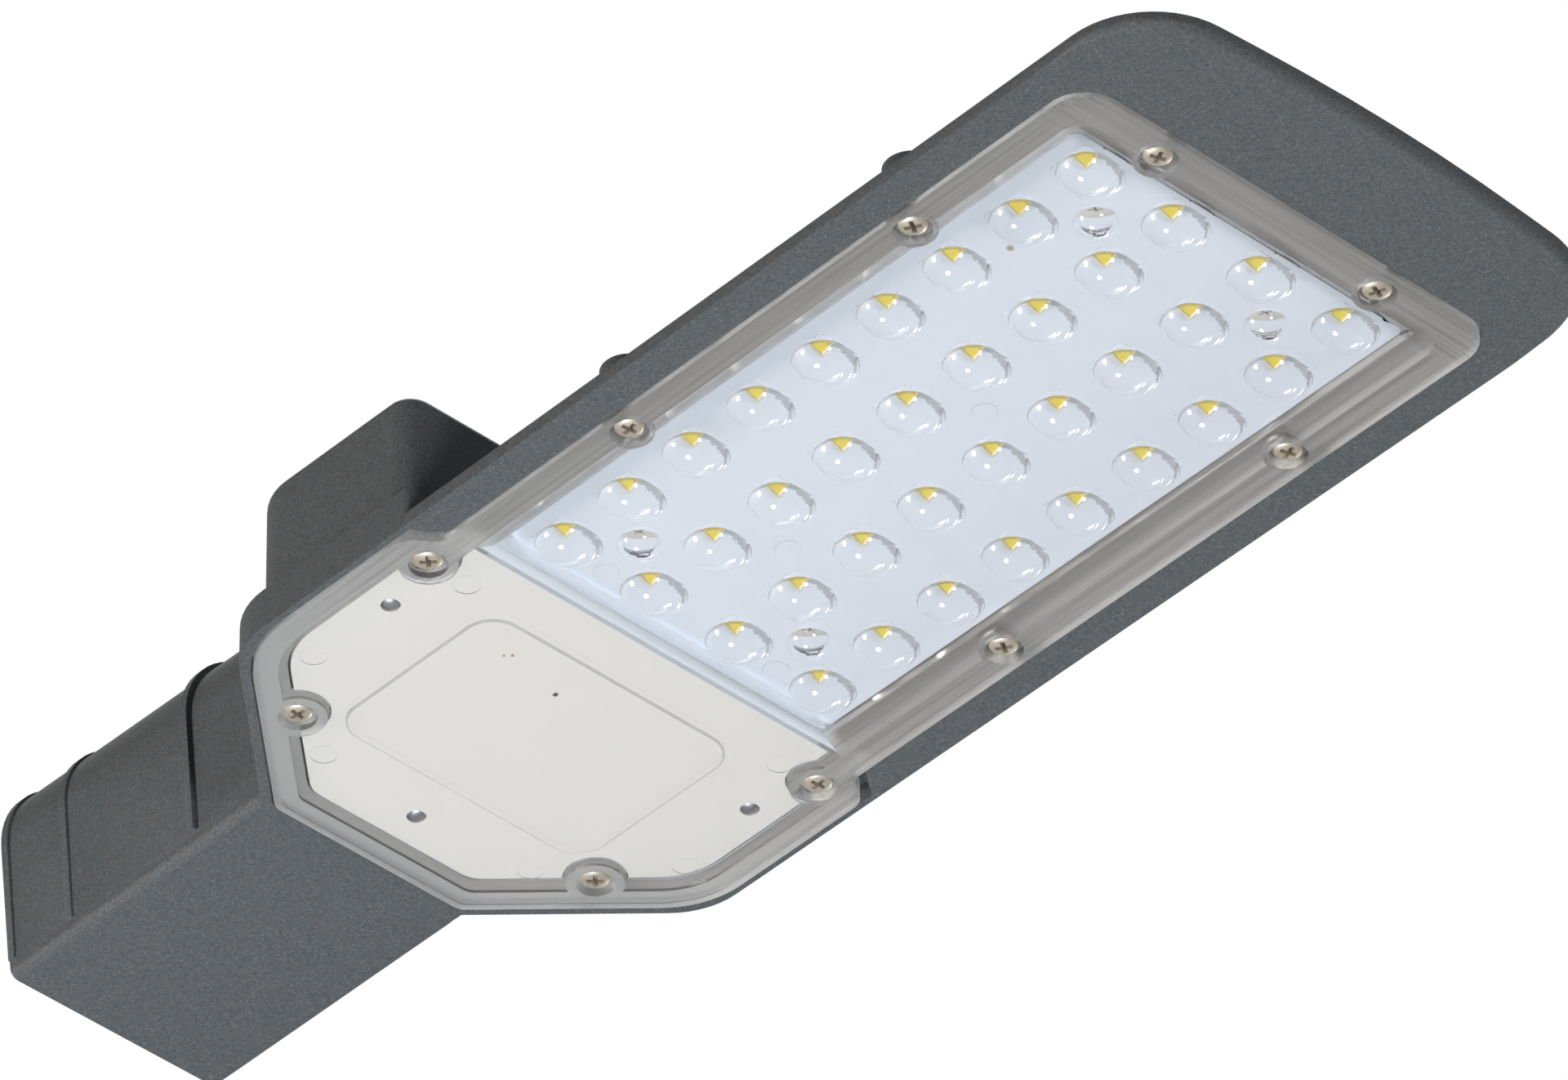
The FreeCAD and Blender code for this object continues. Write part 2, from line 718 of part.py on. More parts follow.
def make_chambers(housing):
    """The pocket for the cover, and the spaces for the driver and the board behind it."""
    gap = "-cover_gap"
    block(housing, "CoverPocket", cover_corners(gap, "pocket_step_slack", "cover_gap"), RIM, SEAT, cut=True)

    board_room = rectangle("plate_front", "chamber_far", CHAMBER_WIDTH)
    block(housing, "BoardRoom", board_room, SEAT, CEILING, cut=True)

    nose_top = f"{SEAT} + nose_chamber_depth"
    nose_room = mirrored(plate_nose("ledge", "(box_start + box_end) / 2"))
    block(housing, "NoseRoom", nose_room, SEAT, nose_top, cut=True)
    driver_room = rectangle("box_start + box_wall", "box_end - box_wall", DRIVER_CHAMBER_WIDTH)
    block(housing, "DriverRoom", driver_room, SEAT, BOX_CEILING, cut=True)
    drum(housing, "CornerPost", CORNER_SCREWS, "nose_boss", SEAT, BOX_CEILING)
    drum(housing, "NosePost", NOSE_SCREWS, "nose_boss", SEAT, nose_top)
    drum(housing, "PinPost", PINS[:2], "pin_boss", SEAT, BOX_CEILING)

    middle = rectangle("plate_end + ledge", "box_start + box_wall", "middle_width")
    block(housing, "MiddleRoom", middle, SEAT, MIDDLE_CEILING, cut=True)
    rib = rectangle("plate_end", "pin_end_x", "pin_boss")
    block(housing, "PinRib", rib, SEAT, f"{SEAT} + pin_length")
    drum(housing, "PinRibEnd", PINS[2:], "pin_boss", SEAT, f"{SEAT} + pin_length")
    channel = rectangle("box_end - 2 * box_wall", "plate_front + box_wall", "channel_width")
    block(housing, "BoardChannel", channel, SEAT, CEILING, cut=True)


def make_holes(housing):
    bore = new_sketch(housing, "BoreOutline", "YZ_Plane")
    draw_circles(bore, [("0", "0")], "bore_diameter")
    extrude(housing, "Bore", bore, "bore_depth", cut=True)
    passage = new_sketch(housing, "PassageOutline", "YZ_Plane")
    draw_circles(passage, [("0", "-wire_hole_drop")], "wire_hole")
    extrude(housing, "Passage", passage, "plate_end + ledge", cut=True)
    threaded(housing, "BoltHole", [(bolt, "0") for bolt in BOLTS], "bolt_diameter", "0", BOLT_SEAT)
    threaded(housing, "CoverScrewHole", COVER_SCREWS, "screw_diameter", SEAT, SCREW_END)
    threaded(housing, "PinHole", PINS, "pin_diameter", SEAT, PIN_END)
    threaded(housing, "BoardScrewHole", BOARD_SCREWS, "board_screw", SEAT, BOARD_SCREW_END)
    threaded(housing, "DriverScrewHole", DRIVER_SCREWS, "driver_screw", SEAT, DRIVER_SCREW_END)
    threaded(housing, "EarthHole", [EARTH], "earth_screw", SEAT, EARTH_END)


# The clear cover: a rim with a raised bead, a window and the tub with the lenses.

def recess_level(body, name, height, slope, far_slope, rounding):
    """One level of the recess, which is widest at the face of the cover."""
    sketch = new_sketch(body, name, offset=("0", "0", height))
    half = f"{FIELD_WIDTH} / 2 + {slope}"
    far = f"field_far + {far_slope}"
    draw_loop(sketch, mirrored([(far, half, rounding), ("field_near", half)]))
    return sketch


FIRST_LENS_X = "lens_centre - lens_pitch * (lens_columns - 1) / 2"
FIRST_LENS_Y = f"-{LENS_ROW_PITCH} * (lens_rows - 1) / 2"


def dome_sketch(body, name, shift, diameter, height):
    """Half of a dome's section at the first lens, standing on the face of the field."""
    return dome_section(body, name, (FIRST_LENS_X, f"{FIRST_LENS_Y} + {shift}"), diameter, height)


def dome_section(body, name, centre, diameter, height):
    sketch = new_sketch(body, name, "XZ_Plane", (centre[0], FIELD, f"-({centre[1]})"))
    radius = value(diameter) / 2
    tall = value(height)
    foot = value("field_plate") / 4
    sphere = (radius * radius + tall * tall) / (2 * tall)
    end = math.atan2(tall - sphere, radius)
    lens = Part.Circle(FreeCAD.Vector(0, sphere - tall, 0), FreeCAD.Vector(0, 0, 1), sphere)
    spots = [FreeCAD.Vector(*spot, 0) for spot in ((0, -tall), (radius, 0), (radius, foot), (0, foot))]
    sketch.addGeometry(Part.ArcOfCircle(lens, -math.pi / 2, end), False)
    for start in (1, 2, 3):
        sketch.addGeometry(Part.LineSegment(spots[start], spots[(start + 1) % 4]), False)
    for index in range(4):
        sketch.addConstraint(Sketcher.Constraint("Coincident", index, 2, (index + 1) % 4, 1))
    sketch.addConstraint(Sketcher.Constraint("PointOnObject", 0, 3, -2))
    places = ((0, ("0", f"-({height})")), (1, (f"({diameter}) / 2", "0")))
    for index, place in places:
        fix_point(sketch, index, place, 1)
    fix_point(sketch, 2, (f"({diameter}) / 2", "field_plate / 4"), 1)
    fix_point(sketch, 3, ("0", "field_plate / 4"), 1)
    return sketch


def turned(body, name, sketch):
    feature = body.newObject("PartDesign::Revolution", name)
    feature.Profile = sketch
    feature.ReferenceAxis = (sketch, ["V_Axis"])
    feature.Angle = 360.0
    doc.recompute()
    return feature


def lens_array(cover):
    """Two merged domes make a lens with a square pocket behind it, in columns and rows."""
    main = turned(cover, "LensDome", dome_sketch(cover, "DomeSection", "0", "lens_diameter", "lens_height"))
    lobe = dome_sketch(cover, "LobeSection", "lobe_shift", "lobe_diameter", "lobe_height")
    side = turned(cover, "LensLobe", lobe)
    square = [
        (x, y, "lens_pocket_round")
        for x, y in box_round(FIRST_LENS_X, FIRST_LENS_Y, "lens_pocket", "lens_pocket")
    ]
    pocket = block(cover, "LensPocket", square, f"{FIELD_BACK} - lens_pocket_depth", FIELD_BACK, cut=True)
    array = cover.newObject("PartDesign::MultiTransform", "LensArray")
    array.Originals = [main, side, pocket]
    patterns = (
        ("LensColumns", "X_Axis", "lens_pitch", "lens_columns"),
        ("LensRows", "Y_Axis", LENS_ROW_PITCH, "lens_rows"),
    )
    steps = []
    for name, axis, pitch, count in patterns:
        pattern = cover.newObject("PartDesign::LinearPattern", name)
        pattern.Direction = (origin_feature(cover, axis), [""])
        bind(pattern, "Length", f"{pitch} * ({count} - 1)")
        bind(pattern, "Occurrences", count)
        steps.append(pattern)
    array.Transformations = steps
    cover.Tip = array
    doc.recompute()


def make_lens_cover():
    cover = new_body("lens_cover")
    band = f"{COVER_FACE} + bead_drop"
    glass = f"{COVER_FACE} + window_depth"
    block(cover, "Slab", cover_corners("0"), COVER_FACE, COVER_BACK)
    block(cover, "RimBand", cover_corners("cover_bead"), COVER_FACE, band, cut=True)

    front_half = f"{FIELD_WIDTH} / 2 + field_slope"
    shoulder = f"{COVER_DRIVER_HALF} - window_band"
    window = [
        ("field_near", front_half),
        ("corner_screw_x", front_half),
        ("corner_screw_x", shoulder),
        *cover_nose("window_band"),
    ]
    block(cover, "Window", mirrored(window), COVER_FACE, glass, cut=True)

    tub = rectangle("field_near - tub_wall", "field_far + tub_wall", f"{FIELD_WIDTH} + 2 * tub_wall",
                    "tub_round", "tub_round")
    block(cover, "Tub", tub, COVER_BACK, FIELD_BACK)
    face = recess_level(cover, "RecessFace", band, "field_slope", "field_far_slope", "field_round")
    floor = recess_level(cover, "RecessFloor", FIELD, "0", "0", "tub_round")
    recess = cover.newObject("PartDesign::SubtractiveLoft", "Recess")
    recess.Profile = face
    recess.Sections = [floor]
    recess.Ruled = True
    doc.recompute()

    drum(cover, "SidePad", BOARD_SIDE_SCREWS, "counterbore + 2 * pad_wall", band, COVER_BACK)
    drum(cover, "DriverPad", DRIVER_SIDE_SCREWS, "screw_pad", band, COVER_BACK)
    behind = f"{glass} + window_plate"
    pocket = plate_corners("-2 * plate_fit", "field_near - tub_wall")
    block(cover, "PlatePocket", pocket, behind, COVER_BACK, cut=True)
    drum(cover, "PadBack", DRIVER_SIDE_SCREWS, "plate_notch - 2 * plate_fit", behind, COVER_BACK)

    panel = rectangle("panel_start", "panel_end", "panel_width", "panel_round", "panel_round")
    block(cover, "Panel", panel, f"{glass} - panel_proud", glass, taper="panel_slope")
    drum(cover, "MouldMark", MOULD_MARKS, "mark_diameter", glass, f"{glass} + mark_depth", cut=True)
    lens_array(cover)
    for index, (x, y) in enumerate(BOARD_SCREWS, start=1):
        section = dome_section(cover, f"CapSection{index}", (x, y), "cap_diameter", "cap_height")
        turned(cover, f"Cap{index}", section)
    hollow = f"{FIELD_BACK} - cap_hollow"
    drum(cover, "CapHollow", BOARD_SCREWS, "cap_hollow_diameter", hollow, FIELD_BACK, cut=True)
    drum(cover, "Counterbore", COVER_SCREWS, "counterbore", COVER_FACE, SCREW_SEAT, cut=True)
    drum(cover, "ScrewHole", COVER_SCREWS, "screw_diameter + 2 * hole_gap", COVER_FACE, COVER_BACK, cut=True)
    return cover


def make_seal_gasket():
    gasket = new_body("seal_gasket")
    block(gasket, "Ring", cover_corners("gasket_edge"), COVER_BACK, SEAT)
    inner = plate_corners("-2 * plate_fit", "plate_front")
    block(gasket, "DriverOpening", inner, COVER_BACK, SEAT, cut=True)
    width = f"{FIELD_WIDTH} + 2 * tub_wall + 2 * hole_gap"
    opening = rectangle("plate_front - hole_gap", "field_far + tub_wall + hole_gap", width)
    block(gasket, "BoardOpening", opening, COVER_BACK, SEAT, cut=True)
    drum(gasket, "ScrewLobe", DRIVER_SIDE_SCREWS, "plate_notch - 2 * plate_fit", COVER_BACK, SEAT)
    drum(gasket, "ScrewHole", COVER_SCREWS, "screw_diameter + 2 * hole_gap", COVER_BACK, SEAT, cut=True)
    for index, (x, y) in enumerate(BOARD_SIDE_SCREWS, start=1):
        slot = screw_slot(x, y)
        block(gasket, f"ScrewSlot{index}", slot, COVER_BACK, SEAT, cut=True)


def screw_slot(x, y):
    """Corners of a slot that opens a screw's hole towards the nearest edge of the cover."""
    half = "gasket_slot / 2"
    if x == "far_screw_x":
        return [
            (x, f"{y} - {half}"), ("cover_far + cover_gap", f"{y} - {half}"),
            ("cover_far + cover_gap", f"{y} + {half}"), (x, f"{y} + {half}"),
        ]
    edge = f"{'-' if y.startswith('-') else ''}{COVER_WIDTH} / 2"
    return [(f"{x} - {half}", y), (f"{x} + {half}", y), (f"{x} + {half}", edge), (f"{x} - {half}", edge)]


def make_driver_cover():
    plate = new_body("driver_cover")
    block(plate, "Sheet", plate_corners("0", "plate_front"), PLATE_FACE, SEAT)
    drum(plate, "ScrewNotch", DRIVER_SIDE_SCREWS, "plate_notch", PLATE_FACE, SEAT, cut=True)
    sink = f"{PLATE_FACE} + pin_head_height"
    drum(plate, "PinSink", PINS, "pin_head + 2 * thread_gap", PLATE_FACE, sink, cut=True)
    drum(plate, "PinHole", PINS, "pin_diameter + 2 * thread_gap", PLATE_FACE, SEAT, cut=True)


# Screws and pins are turned once and copied to their places.

def fastener(name, head, head_height, shank, length, seat, rounded="0.35"):
    """A round-headed fastener on the Z axis, with its head below the seat."""
    body = new_body(name)
    sketch = new_sketch(body, f"{name}Section", "XZ_Plane", ("0", seat, "0"))
    draw_loop(sketch, [
        ("0", f"-({head_height})"),
        (f"({head}) / 2", f"-({head_height})", f"({head_height}) * {rounded}"),
        (f"({head}) / 2", "0"),
        (f"({shank}) / 2", "0"),
        (f"({shank}) / 2", length),
        ("0", length),
    ])
    turned(body, f"{name}Turned", sketch)
    return body


def fasteners(label, master, places):
    return copies(label, master, [(x, y, "0") for x, y in places])


def make_fasteners():
    screw = fastener("CoverScrew", "screw_head", "screw_head_height", "screw_diameter",
                     "screw_length", SCREW_SEAT)
    fasteners("cover_screws", screw, COVER_SCREWS)
    sink = f"{PLATE_FACE} + pin_head_height"
    head = "pin_head_height - thread_gap"
    pin = fastener("Pin", "pin_head", head, "pin_diameter", "pin_length", sink, "0.6")
    fasteners("driver_cover_pins", pin, PINS)
    screw = fastener("BoardScrew", "board_screw_head", "board_screw_height", "board_screw",
                     "board_screw_length", BOARD_FACE)
    fasteners("board_screws", screw, BOARD_SCREWS)
    seat = f"{BOX_CEILING} - driver_tab_thickness"
    screw = fastener("DriverScrew", "driver_screw_head", "driver_tab_thickness", "driver_screw",
                     "driver_screw_length", seat)
    fasteners("driver_screws", screw, DRIVER_SCREWS)
    seat = f"{MIDDLE_CEILING} - earth_washer_thickness"
    screw = fastener("EarthScrew", "earth_head", "earth_head_height", "earth_screw", "earth_length", seat)
    fasteners("earth_screw", screw, [EARTH])


def make_washer():
    washer = new_body("earth_washer")
    low = f"{MIDDLE_CEILING} - earth_washer_thickness"
    drum(washer, "Disc", [EARTH], "earth_washer", low, MIDDLE_CEILING)
    drum(washer, "Hole", [EARTH], "earth_screw + 2 * thread_gap", low, MIDDLE_CEILING, cut=True)


def hexagon(centre, flats):
    """Corners of a hexagon with two of its flats along the head."""
    half = f"({flats}) / 2"
    point = f"({flats}) / sqrt(3)"
    x, y = centre
    return [
        (f"{x} + {point}", y),
        (f"{x} + {point} / 2", f"{y} + {half}"),
        (f"{x} - {point} / 2", f"{y} + {half}"),
        (f"{x} - {point}", y),
        (f"{x} - {point} / 2", f"{y} - {half}"),
        (f"{x} + {point} / 2", f"{y} - {half}"),
    ]


def make_clamp_bolts():
    bolt = new_body("ClampBolt")
    under_head = f"{BOLT_SEAT} + bolt_grip"
    drum(bolt, "Shank", [("0", "0")], "bolt_diameter", "bore_diameter / 2 + hole_gap", under_head)
    head = hexagon(("0", "0"), "bolt_head_flats")
    block(bolt, "Head", head, under_head, f"{under_head} + bolt_head_height")
    copies("clamp_bolts", bolt, [(place, "0", "0") for place in BOLTS])
    nut = new_body("ClampNut")
    block(nut, "Body", hexagon(("0", "0"), "bolt_head_flats"), BOLT_SEAT, f"{BOLT_SEAT} + nut_height")
    size = "bolt_diameter + 2 * thread_gap"
    drum(nut, "Thread", [("0", "0")], size, BOLT_SEAT, f"{BOLT_SEAT} + nut_height", cut=True)
    copies("clamp_lock_nuts", nut, [(place, "0", "0") for place in BOLTS])


# The board with its light sources.

def make_led_board():
    board = new_body("led_board")
    edge = "2 * board_margin"
    blank = rectangle("plate_front + board_margin", "chamber_far - board_margin", f"{CHAMBER_WIDTH} - {edge}")
    block(board, "Blank", blank, BOARD_FACE, BOARD_BACK)
    tongue = rectangle("tongue_start", "plate_front + 2 * board_margin", "tongue_width")
    block(board, "Tongue", tongue, BOARD_FACE, BOARD_BACK)
    size = "board_screw + 2 * thread_gap"
    drum(board, "ScrewHole", BOARD_SCREWS, size, BOARD_FACE, BOARD_BACK, cut=True)

    pad = new_body("thermal_pad")
    edge = "2 * (board_margin + pad_margin)"
    start = "plate_front + board_margin + pad_margin"
    outline = rectangle(start, "chamber_far - board_margin - pad_margin", f"{CHAMBER_WIDTH} - {edge}")
    block(pad, "Film", outline, BOARD_BACK, CEILING)
    drum(pad, "ScrewHole", BOARD_SCREWS, size, BOARD_BACK, CEILING, cut=True)

    plug = new_body("board_connector")
    end = "connector_start + connector_length"
    top = f"{BOARD_BACK} + connector_height"
    block(plug, "Shell", rectangle("connector_start", end, "connector_width"), BOARD_BACK, top)
    lead_holes(plug, "Socket", LED_LEADS, "led_lead", "connector_start", "connector_length / 2")


def make_led_packages():
    package = new_body("LedPackage")
    low = f"{BOARD_FACE} - led_height"
    block(package, "Body", box_round("0", "0", "led_side", "led_side"), low, BOARD_FACE)
    drum(package, "Window", [("0", "0")], "led_window", low, f"{low} + mark_depth", cut=True)
    places = []
    for column in range(round(value("lens_columns"))):
        for row in range(round(value("lens_rows"))):
            x = f"lens_centre + ({column} - (lens_columns - 1) / 2) * lens_pitch"
            y = f"({row} - (lens_rows - 1) / 2) * {LENS_ROW_PITCH}"
            places.append((x, y, "0"))
    copies("led_packages", package, places)


# The driver in its case, and the pieces that bring it the mains.

def lead_holes(body, name, places, lead, start, depth):
    """Holes along the head for leads, from a face that looks towards the pole."""
    sketch = new_sketch(body, f"{name}Outline", "YZ_Plane", ("0", "0", start))
    draw_circles(sketch, places, f"{lead} + 2 * thread_gap")
    extrude(body, name, sketch, depth, cut=True)


def make_driver_case():
    case = new_body("driver_case")
    shell = rectangle("driver_start", "driver_end", DRIVER_WIDTH)
    block(case, "Shell", shell, LID_TOP, BOX_CEILING)
    tabs = rectangle("driver_tab_x - driver_tab_width / 2", "driver_tab_x + driver_tab_width / 2",
                     f"{DRIVER_WIDTH} + 2 * driver_tab")
    block(case, "Tabs", tabs, f"{BOX_CEILING} - driver_tab_thickness", BOX_CEILING)
    width = f"{DRIVER_WIDTH} - 2 * driver_wall"
    room = rectangle("driver_start + driver_wall", "driver_end - driver_wall", width)
    block(case, "Room", room, LID_TOP, f"{BOX_CEILING} - driver_wall", cut=True)
    size = "driver_screw + 2 * thread_gap"
    drum(case, "TabHole", DRIVER_SCREWS, size, f"{BOX_CEILING} - driver_tab_thickness", BOX_CEILING, cut=True)
    lead_holes(case, "MainsHole", MAINS_LEADS, "mains_lead", "driver_start", "driver_wall")
    lead_holes(case, "LedHole", LED_LEADS, "led_lead", "driver_end - driver_wall", "driver_wall")

    lid = new_body("driver_lid")
    block(lid, "Sheet", shell, DRIVER_FACE, LID_TOP)

    board = new_body("driver_circuit_board")
    width = f"{DRIVER_WIDTH} - 2 * driver_wall - 2 * hole_gap"
    outline = rectangle("driver_start + driver_wall + hole_gap", "driver_end - driver_wall - hole_gap", width)
    block(board, "Sheet", outline, CIRCUIT_BACK, CIRCUIT_FACE)


def make_transformer():
    middle = "(driver_start + driver_end) / 2"
    core = new_body("transformer_core")
    low = CIRCUIT_FACE
    top = f"{CIRCUIT_FACE} + core_height"
    block(core, "Block", box_round(middle, "core_middle", "core_length", "core_width"), low, top)
    for side, sign in (("Left", "-"), ("Right", "")):
        width = "(core_width / 2 - core_outer_leg - core_leg / 2)"
        place = f"core_middle {sign or '+'} (core_leg / 2 + {width} / 2)"
        window = box_round(middle, place, "core_length", width)
        block(core, f"{side}Window", window, f"{low} + core_yoke", f"{top} - core_yoke", cut=True)

    winding = new_body("transformer_winding")
    low = f"{CIRCUIT_FACE} + core_yoke + winding_gap"
    top = f"{CIRCUIT_FACE} + core_height - core_yoke - winding_gap"
    width = "core_width - 2 * core_outer_leg - 2 * winding_gap"
    outer = [(x, y, "winding_gap * 10") for x, y in box_round(middle, "core_middle", "winding_length", width)]
    block(winding, "Coil", outer, low, top)
    inner = box_round(middle, "core_middle", "core_length + 2 * winding_gap", "core_leg + 2 * winding_gap")
    block(winding, "Opening", inner, low, top, cut=True)


def make_driver_components():
    middle = "(driver_start + driver_end) / 2"
    capacitors = new_body("Capacitor")
    top = f"{CIRCUIT_FACE} + capacitor_height"
    drum(capacitors, "Can", [(middle, "0")], "capacitor_diameter", CIRCUIT_FACE, top)
    outermost = f"{DRIVER_WIDTH} / 2 - capacitor_inset"
    places = [("0", f"{outermost} - capacitor_spacing", "0"), ("0", outermost, "0")]
    copies("driver_capacitors", capacitors, places)

    coil = new_body("driver_inductor")
    top = f"{CIRCUIT_FACE} + coil_height"
    drum(coil, "Ring", [(middle, "coil_place")], "coil_diameter", CIRCUIT_FACE, top)
    drum(coil, "Hole", [(middle, "coil_place")], "coil_hole", CIRCUIT_FACE, top, cut=True)


def make_terminals():
    block_body = new_body("terminal_block")
    end = "terminal_start + terminal_length"
    low = f"{MIDDLE_CEILING} - terminal_height"
    outline = rectangle("terminal_start", end, "terminal_pitch * terminal_poles")
    block(block_body, "Shell", outline, low, MIDDLE_CEILING)
    count = round(value("terminal_poles"))
    poles = [f"({pole} - (terminal_poles - 1) / 2) * terminal_pitch" for pole in range(count)]
    sketch = new_sketch(block_body, "WireOutline", "YZ_Plane", ("0", "0", "terminal_start"))
    draw_circles(sketch, [(pole, f"{RIM} + terminal_wire_height") for pole in poles], "terminal_wire_hole")
    extrude(block_body, "WireHole", sketch, "terminal_length", cut=True)
    wells = [
        (f"{x}", pole)
        for x in ("terminal_start + terminal_screw_x", f"{end} - terminal_screw_x")
        for pole in poles
    ]
    size = "terminal_screw_head + 2 * thread_gap"
    seat = f"{low} + terminal_well"
    drum(block_body, "Well", wells, size, low, seat, cut=True)
    size = "terminal_screw + 2 * thread_gap"
    drum(block_body, "ScrewHole", wells, size, low, f"{RIM} + terminal_wire_height", cut=True)
    reach = f"{RIM} + terminal_wire_height - mains_lead / 2 - thread_gap - ({seat})"
    screw = fastener("TerminalScrew", "terminal_screw_head", "terminal_screw_depth",
                     "terminal_screw", reach, seat)
    fasteners("terminal_screws", screw, wells)

    grommet = new_body("cable_grommet")
    centre = [("0", "-wire_hole_drop")]
    wall = "plate_end + ledge"
    parts = (
        ("Sleeve", "bore_depth", wall, "wire_hole - 2 * thread_gap"),
        ("Flange", wall, f"{wall} + grommet_lip", "grommet_flange"),
    )
    for name, start, stop, size in parts:
        sketch = new_sketch(grommet, f"{name}Outline", "YZ_Plane", ("0", "0", start))
        draw_circles(sketch, centre, size)
        extrude(grommet, name, sketch, f"({stop}) - ({start})")
    sketch = new_sketch(grommet, "OpeningOutline", "YZ_Plane", ("0", "0", "bore_depth"))
    draw_circles(sketch, centre, "grommet_hole")
    extrude(grommet, "Opening", sketch, f"{wall} + grommet_lip - bore_depth", cut=True)


def make_leads():
    """Short straight leads: each runs from inside one housing to inside the next."""
    runs = (
        ("led_lead_positive", LED_LEADS[0], "led_lead", "driver_end - driver_wall - lead_reach",
         "connector_start + connector_length / 2"),
        ("led_lead_negative", LED_LEADS[1], "led_lead", "driver_end - driver_wall - lead_reach",
         "connector_start + connector_length / 2"),
        ("mains_lead_live", MAINS_LEADS[0], "mains_lead", "terminal_start + terminal_length / 2",
         "driver_start + driver_wall + lead_reach"),
        ("mains_lead_neutral", MAINS_LEADS[1], "mains_lead", "terminal_start + terminal_length / 2",
         "driver_start + driver_wall + lead_reach"),
    )
    for label, place, size, start, end in runs:
        lead = new_body(label)
        sketch = new_sketch(lead, "Section", "YZ_Plane", ("0", "0", start))
        draw_circles(sketch, [place], size)
        extrude(lead, "Run", sketch, f"({end}) - ({start})")


def finish():
    """Refuse to write anything while an object is failed or a solid is missing."""
    doc.recompute()
    for item in doc.Objects:
        if "Invalid" in item.State or "Error" in item.State:
            raise RuntimeError(f"{item.Label}: {item.State}")
    os.makedirs("parts", exist_ok=True)
    for label in NODES:
        node = doc.getObjectsByLabel(label)[0]
        if node.Shape.isNull() or not node.Shape.isValid() or not node.Shape.Solids:
            raise RuntimeError(f"{label}: its shape is missing or not valid")
        node.Shape.exportStep(f"parts/{label}.step")
        print(label, len(node.Shape.Solids), round(node.Shape.Volume, 1))


NODES = [
    "housing", "lens_cover", "seal_gasket", "cover_screws",
    "led_board", "led_packages", "thermal_pad", "board_screws", "board_connector",
    "driver_cover", "driver_cover_pins", "driver_case", "driver_lid", "driver_screws",
    "driver_circuit_board", "transformer_core", "transformer_winding",
    "driver_capacitors", "driver_inductor",
    "terminal_block", "terminal_screws", "cable_grommet", "earth_screw", "earth_washer",
    "clamp_bolts", "clamp_lock_nuts",
    "led_lead_positive", "led_lead_negative", "mains_lead_live", "mains_lead_neutral",
]

make_housing()
make_lens_cover()
make_seal_gasket()
make_driver_cover()
make_fasteners()
make_washer()
make_clamp_bolts()
make_led_board()
make_led_packages()
make_driver_case()
make_transformer()
make_driver_components()
make_terminals()
make_leads()
finish()
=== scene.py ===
import math
import bmesh
import bpy
from mathutils import Matrix, Vector


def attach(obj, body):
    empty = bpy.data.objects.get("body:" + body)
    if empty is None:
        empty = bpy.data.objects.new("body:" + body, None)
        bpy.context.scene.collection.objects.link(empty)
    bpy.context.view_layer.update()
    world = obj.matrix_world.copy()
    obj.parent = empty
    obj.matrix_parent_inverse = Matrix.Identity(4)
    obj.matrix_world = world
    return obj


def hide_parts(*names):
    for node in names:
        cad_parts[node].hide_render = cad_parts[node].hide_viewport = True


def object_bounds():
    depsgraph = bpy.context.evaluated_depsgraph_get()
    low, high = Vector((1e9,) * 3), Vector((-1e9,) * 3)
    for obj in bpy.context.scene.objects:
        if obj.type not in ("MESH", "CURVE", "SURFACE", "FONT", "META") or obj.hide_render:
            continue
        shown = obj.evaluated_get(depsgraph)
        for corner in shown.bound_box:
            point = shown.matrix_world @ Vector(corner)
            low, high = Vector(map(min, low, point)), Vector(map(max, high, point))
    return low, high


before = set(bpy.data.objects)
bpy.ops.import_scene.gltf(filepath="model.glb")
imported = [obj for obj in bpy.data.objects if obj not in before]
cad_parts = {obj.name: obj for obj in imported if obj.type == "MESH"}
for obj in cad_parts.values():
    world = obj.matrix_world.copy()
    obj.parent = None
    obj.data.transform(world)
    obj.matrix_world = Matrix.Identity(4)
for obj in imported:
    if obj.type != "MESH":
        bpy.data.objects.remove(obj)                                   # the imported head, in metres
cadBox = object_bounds()
mm = 0.001
body = "root"                                       # nothing moves, so there is one body
weldMm = 0.001                                      # points nearer than this become one
flatDeg = 0.5                                       # faces within this angle become one

scene = bpy.context.scene
scene.view_settings.view_transform = "Standard"
scene.cycles.caustics_refractive = False            # no stray bright flecks under the clear cover
scene.cycles.caustics_reflective = False
print("frame loaded:", len(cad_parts), "nodes")


# Small helpers

def linearColour(code):                             # an sRGB hex value, made linear
    parts = [int(code[i:i + 2], 16) / 255 for i in (1, 3, 5)]
    parts = [p / 12.92 if p <= 0.04045 else ((p + 0.055) / 1.055) ** 2.4 for p in parts]
    return (*parts, 1.0)


def addNode(tree, kind, inputs=(), **settings):     # a shader node with its settings, values and links
    node = tree.nodes.new("ShaderNode" + kind)
    for name, setting in settings.items():
        setattr(node, name, setting)
    for name, source in dict(inputs).items():
        if isinstance(source, bpy.types.NodeSocket):
            tree.links.new(source, node.inputs[name])
        else:
            node.inputs[name].default_value = source
    return node


def newMaterial(name):                              # an empty material and its node tree
    material = bpy.data.materials.new(name)
    material.use_nodes = True
    material.node_tree.nodes.clear()
    return material, material.node_tree


def cadCopy(node):                                  # a CAD node's triangles, joined to one shell
    bm = bmesh.new()
    bm.from_mesh(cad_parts[node].data)
    bmesh.ops.remove_doubles(bm, verts=bm.verts[:], dist=weldMm * mm)
    return bm


def mergeFlats(bm):                                 # drops the edges inside flat faces
    bmesh.ops.dissolve_limit(bm, angle_limit=math.radians(flatDeg), verts=bm.verts[:], edges=bm.edges[:])


def plainMesh(name, bm):                            # the bmesh as mesh data, flat shaded
    mesh = bpy.data.meshes.new(name)
    bm.to_mesh(mesh)
    bm.free()
    return mesh


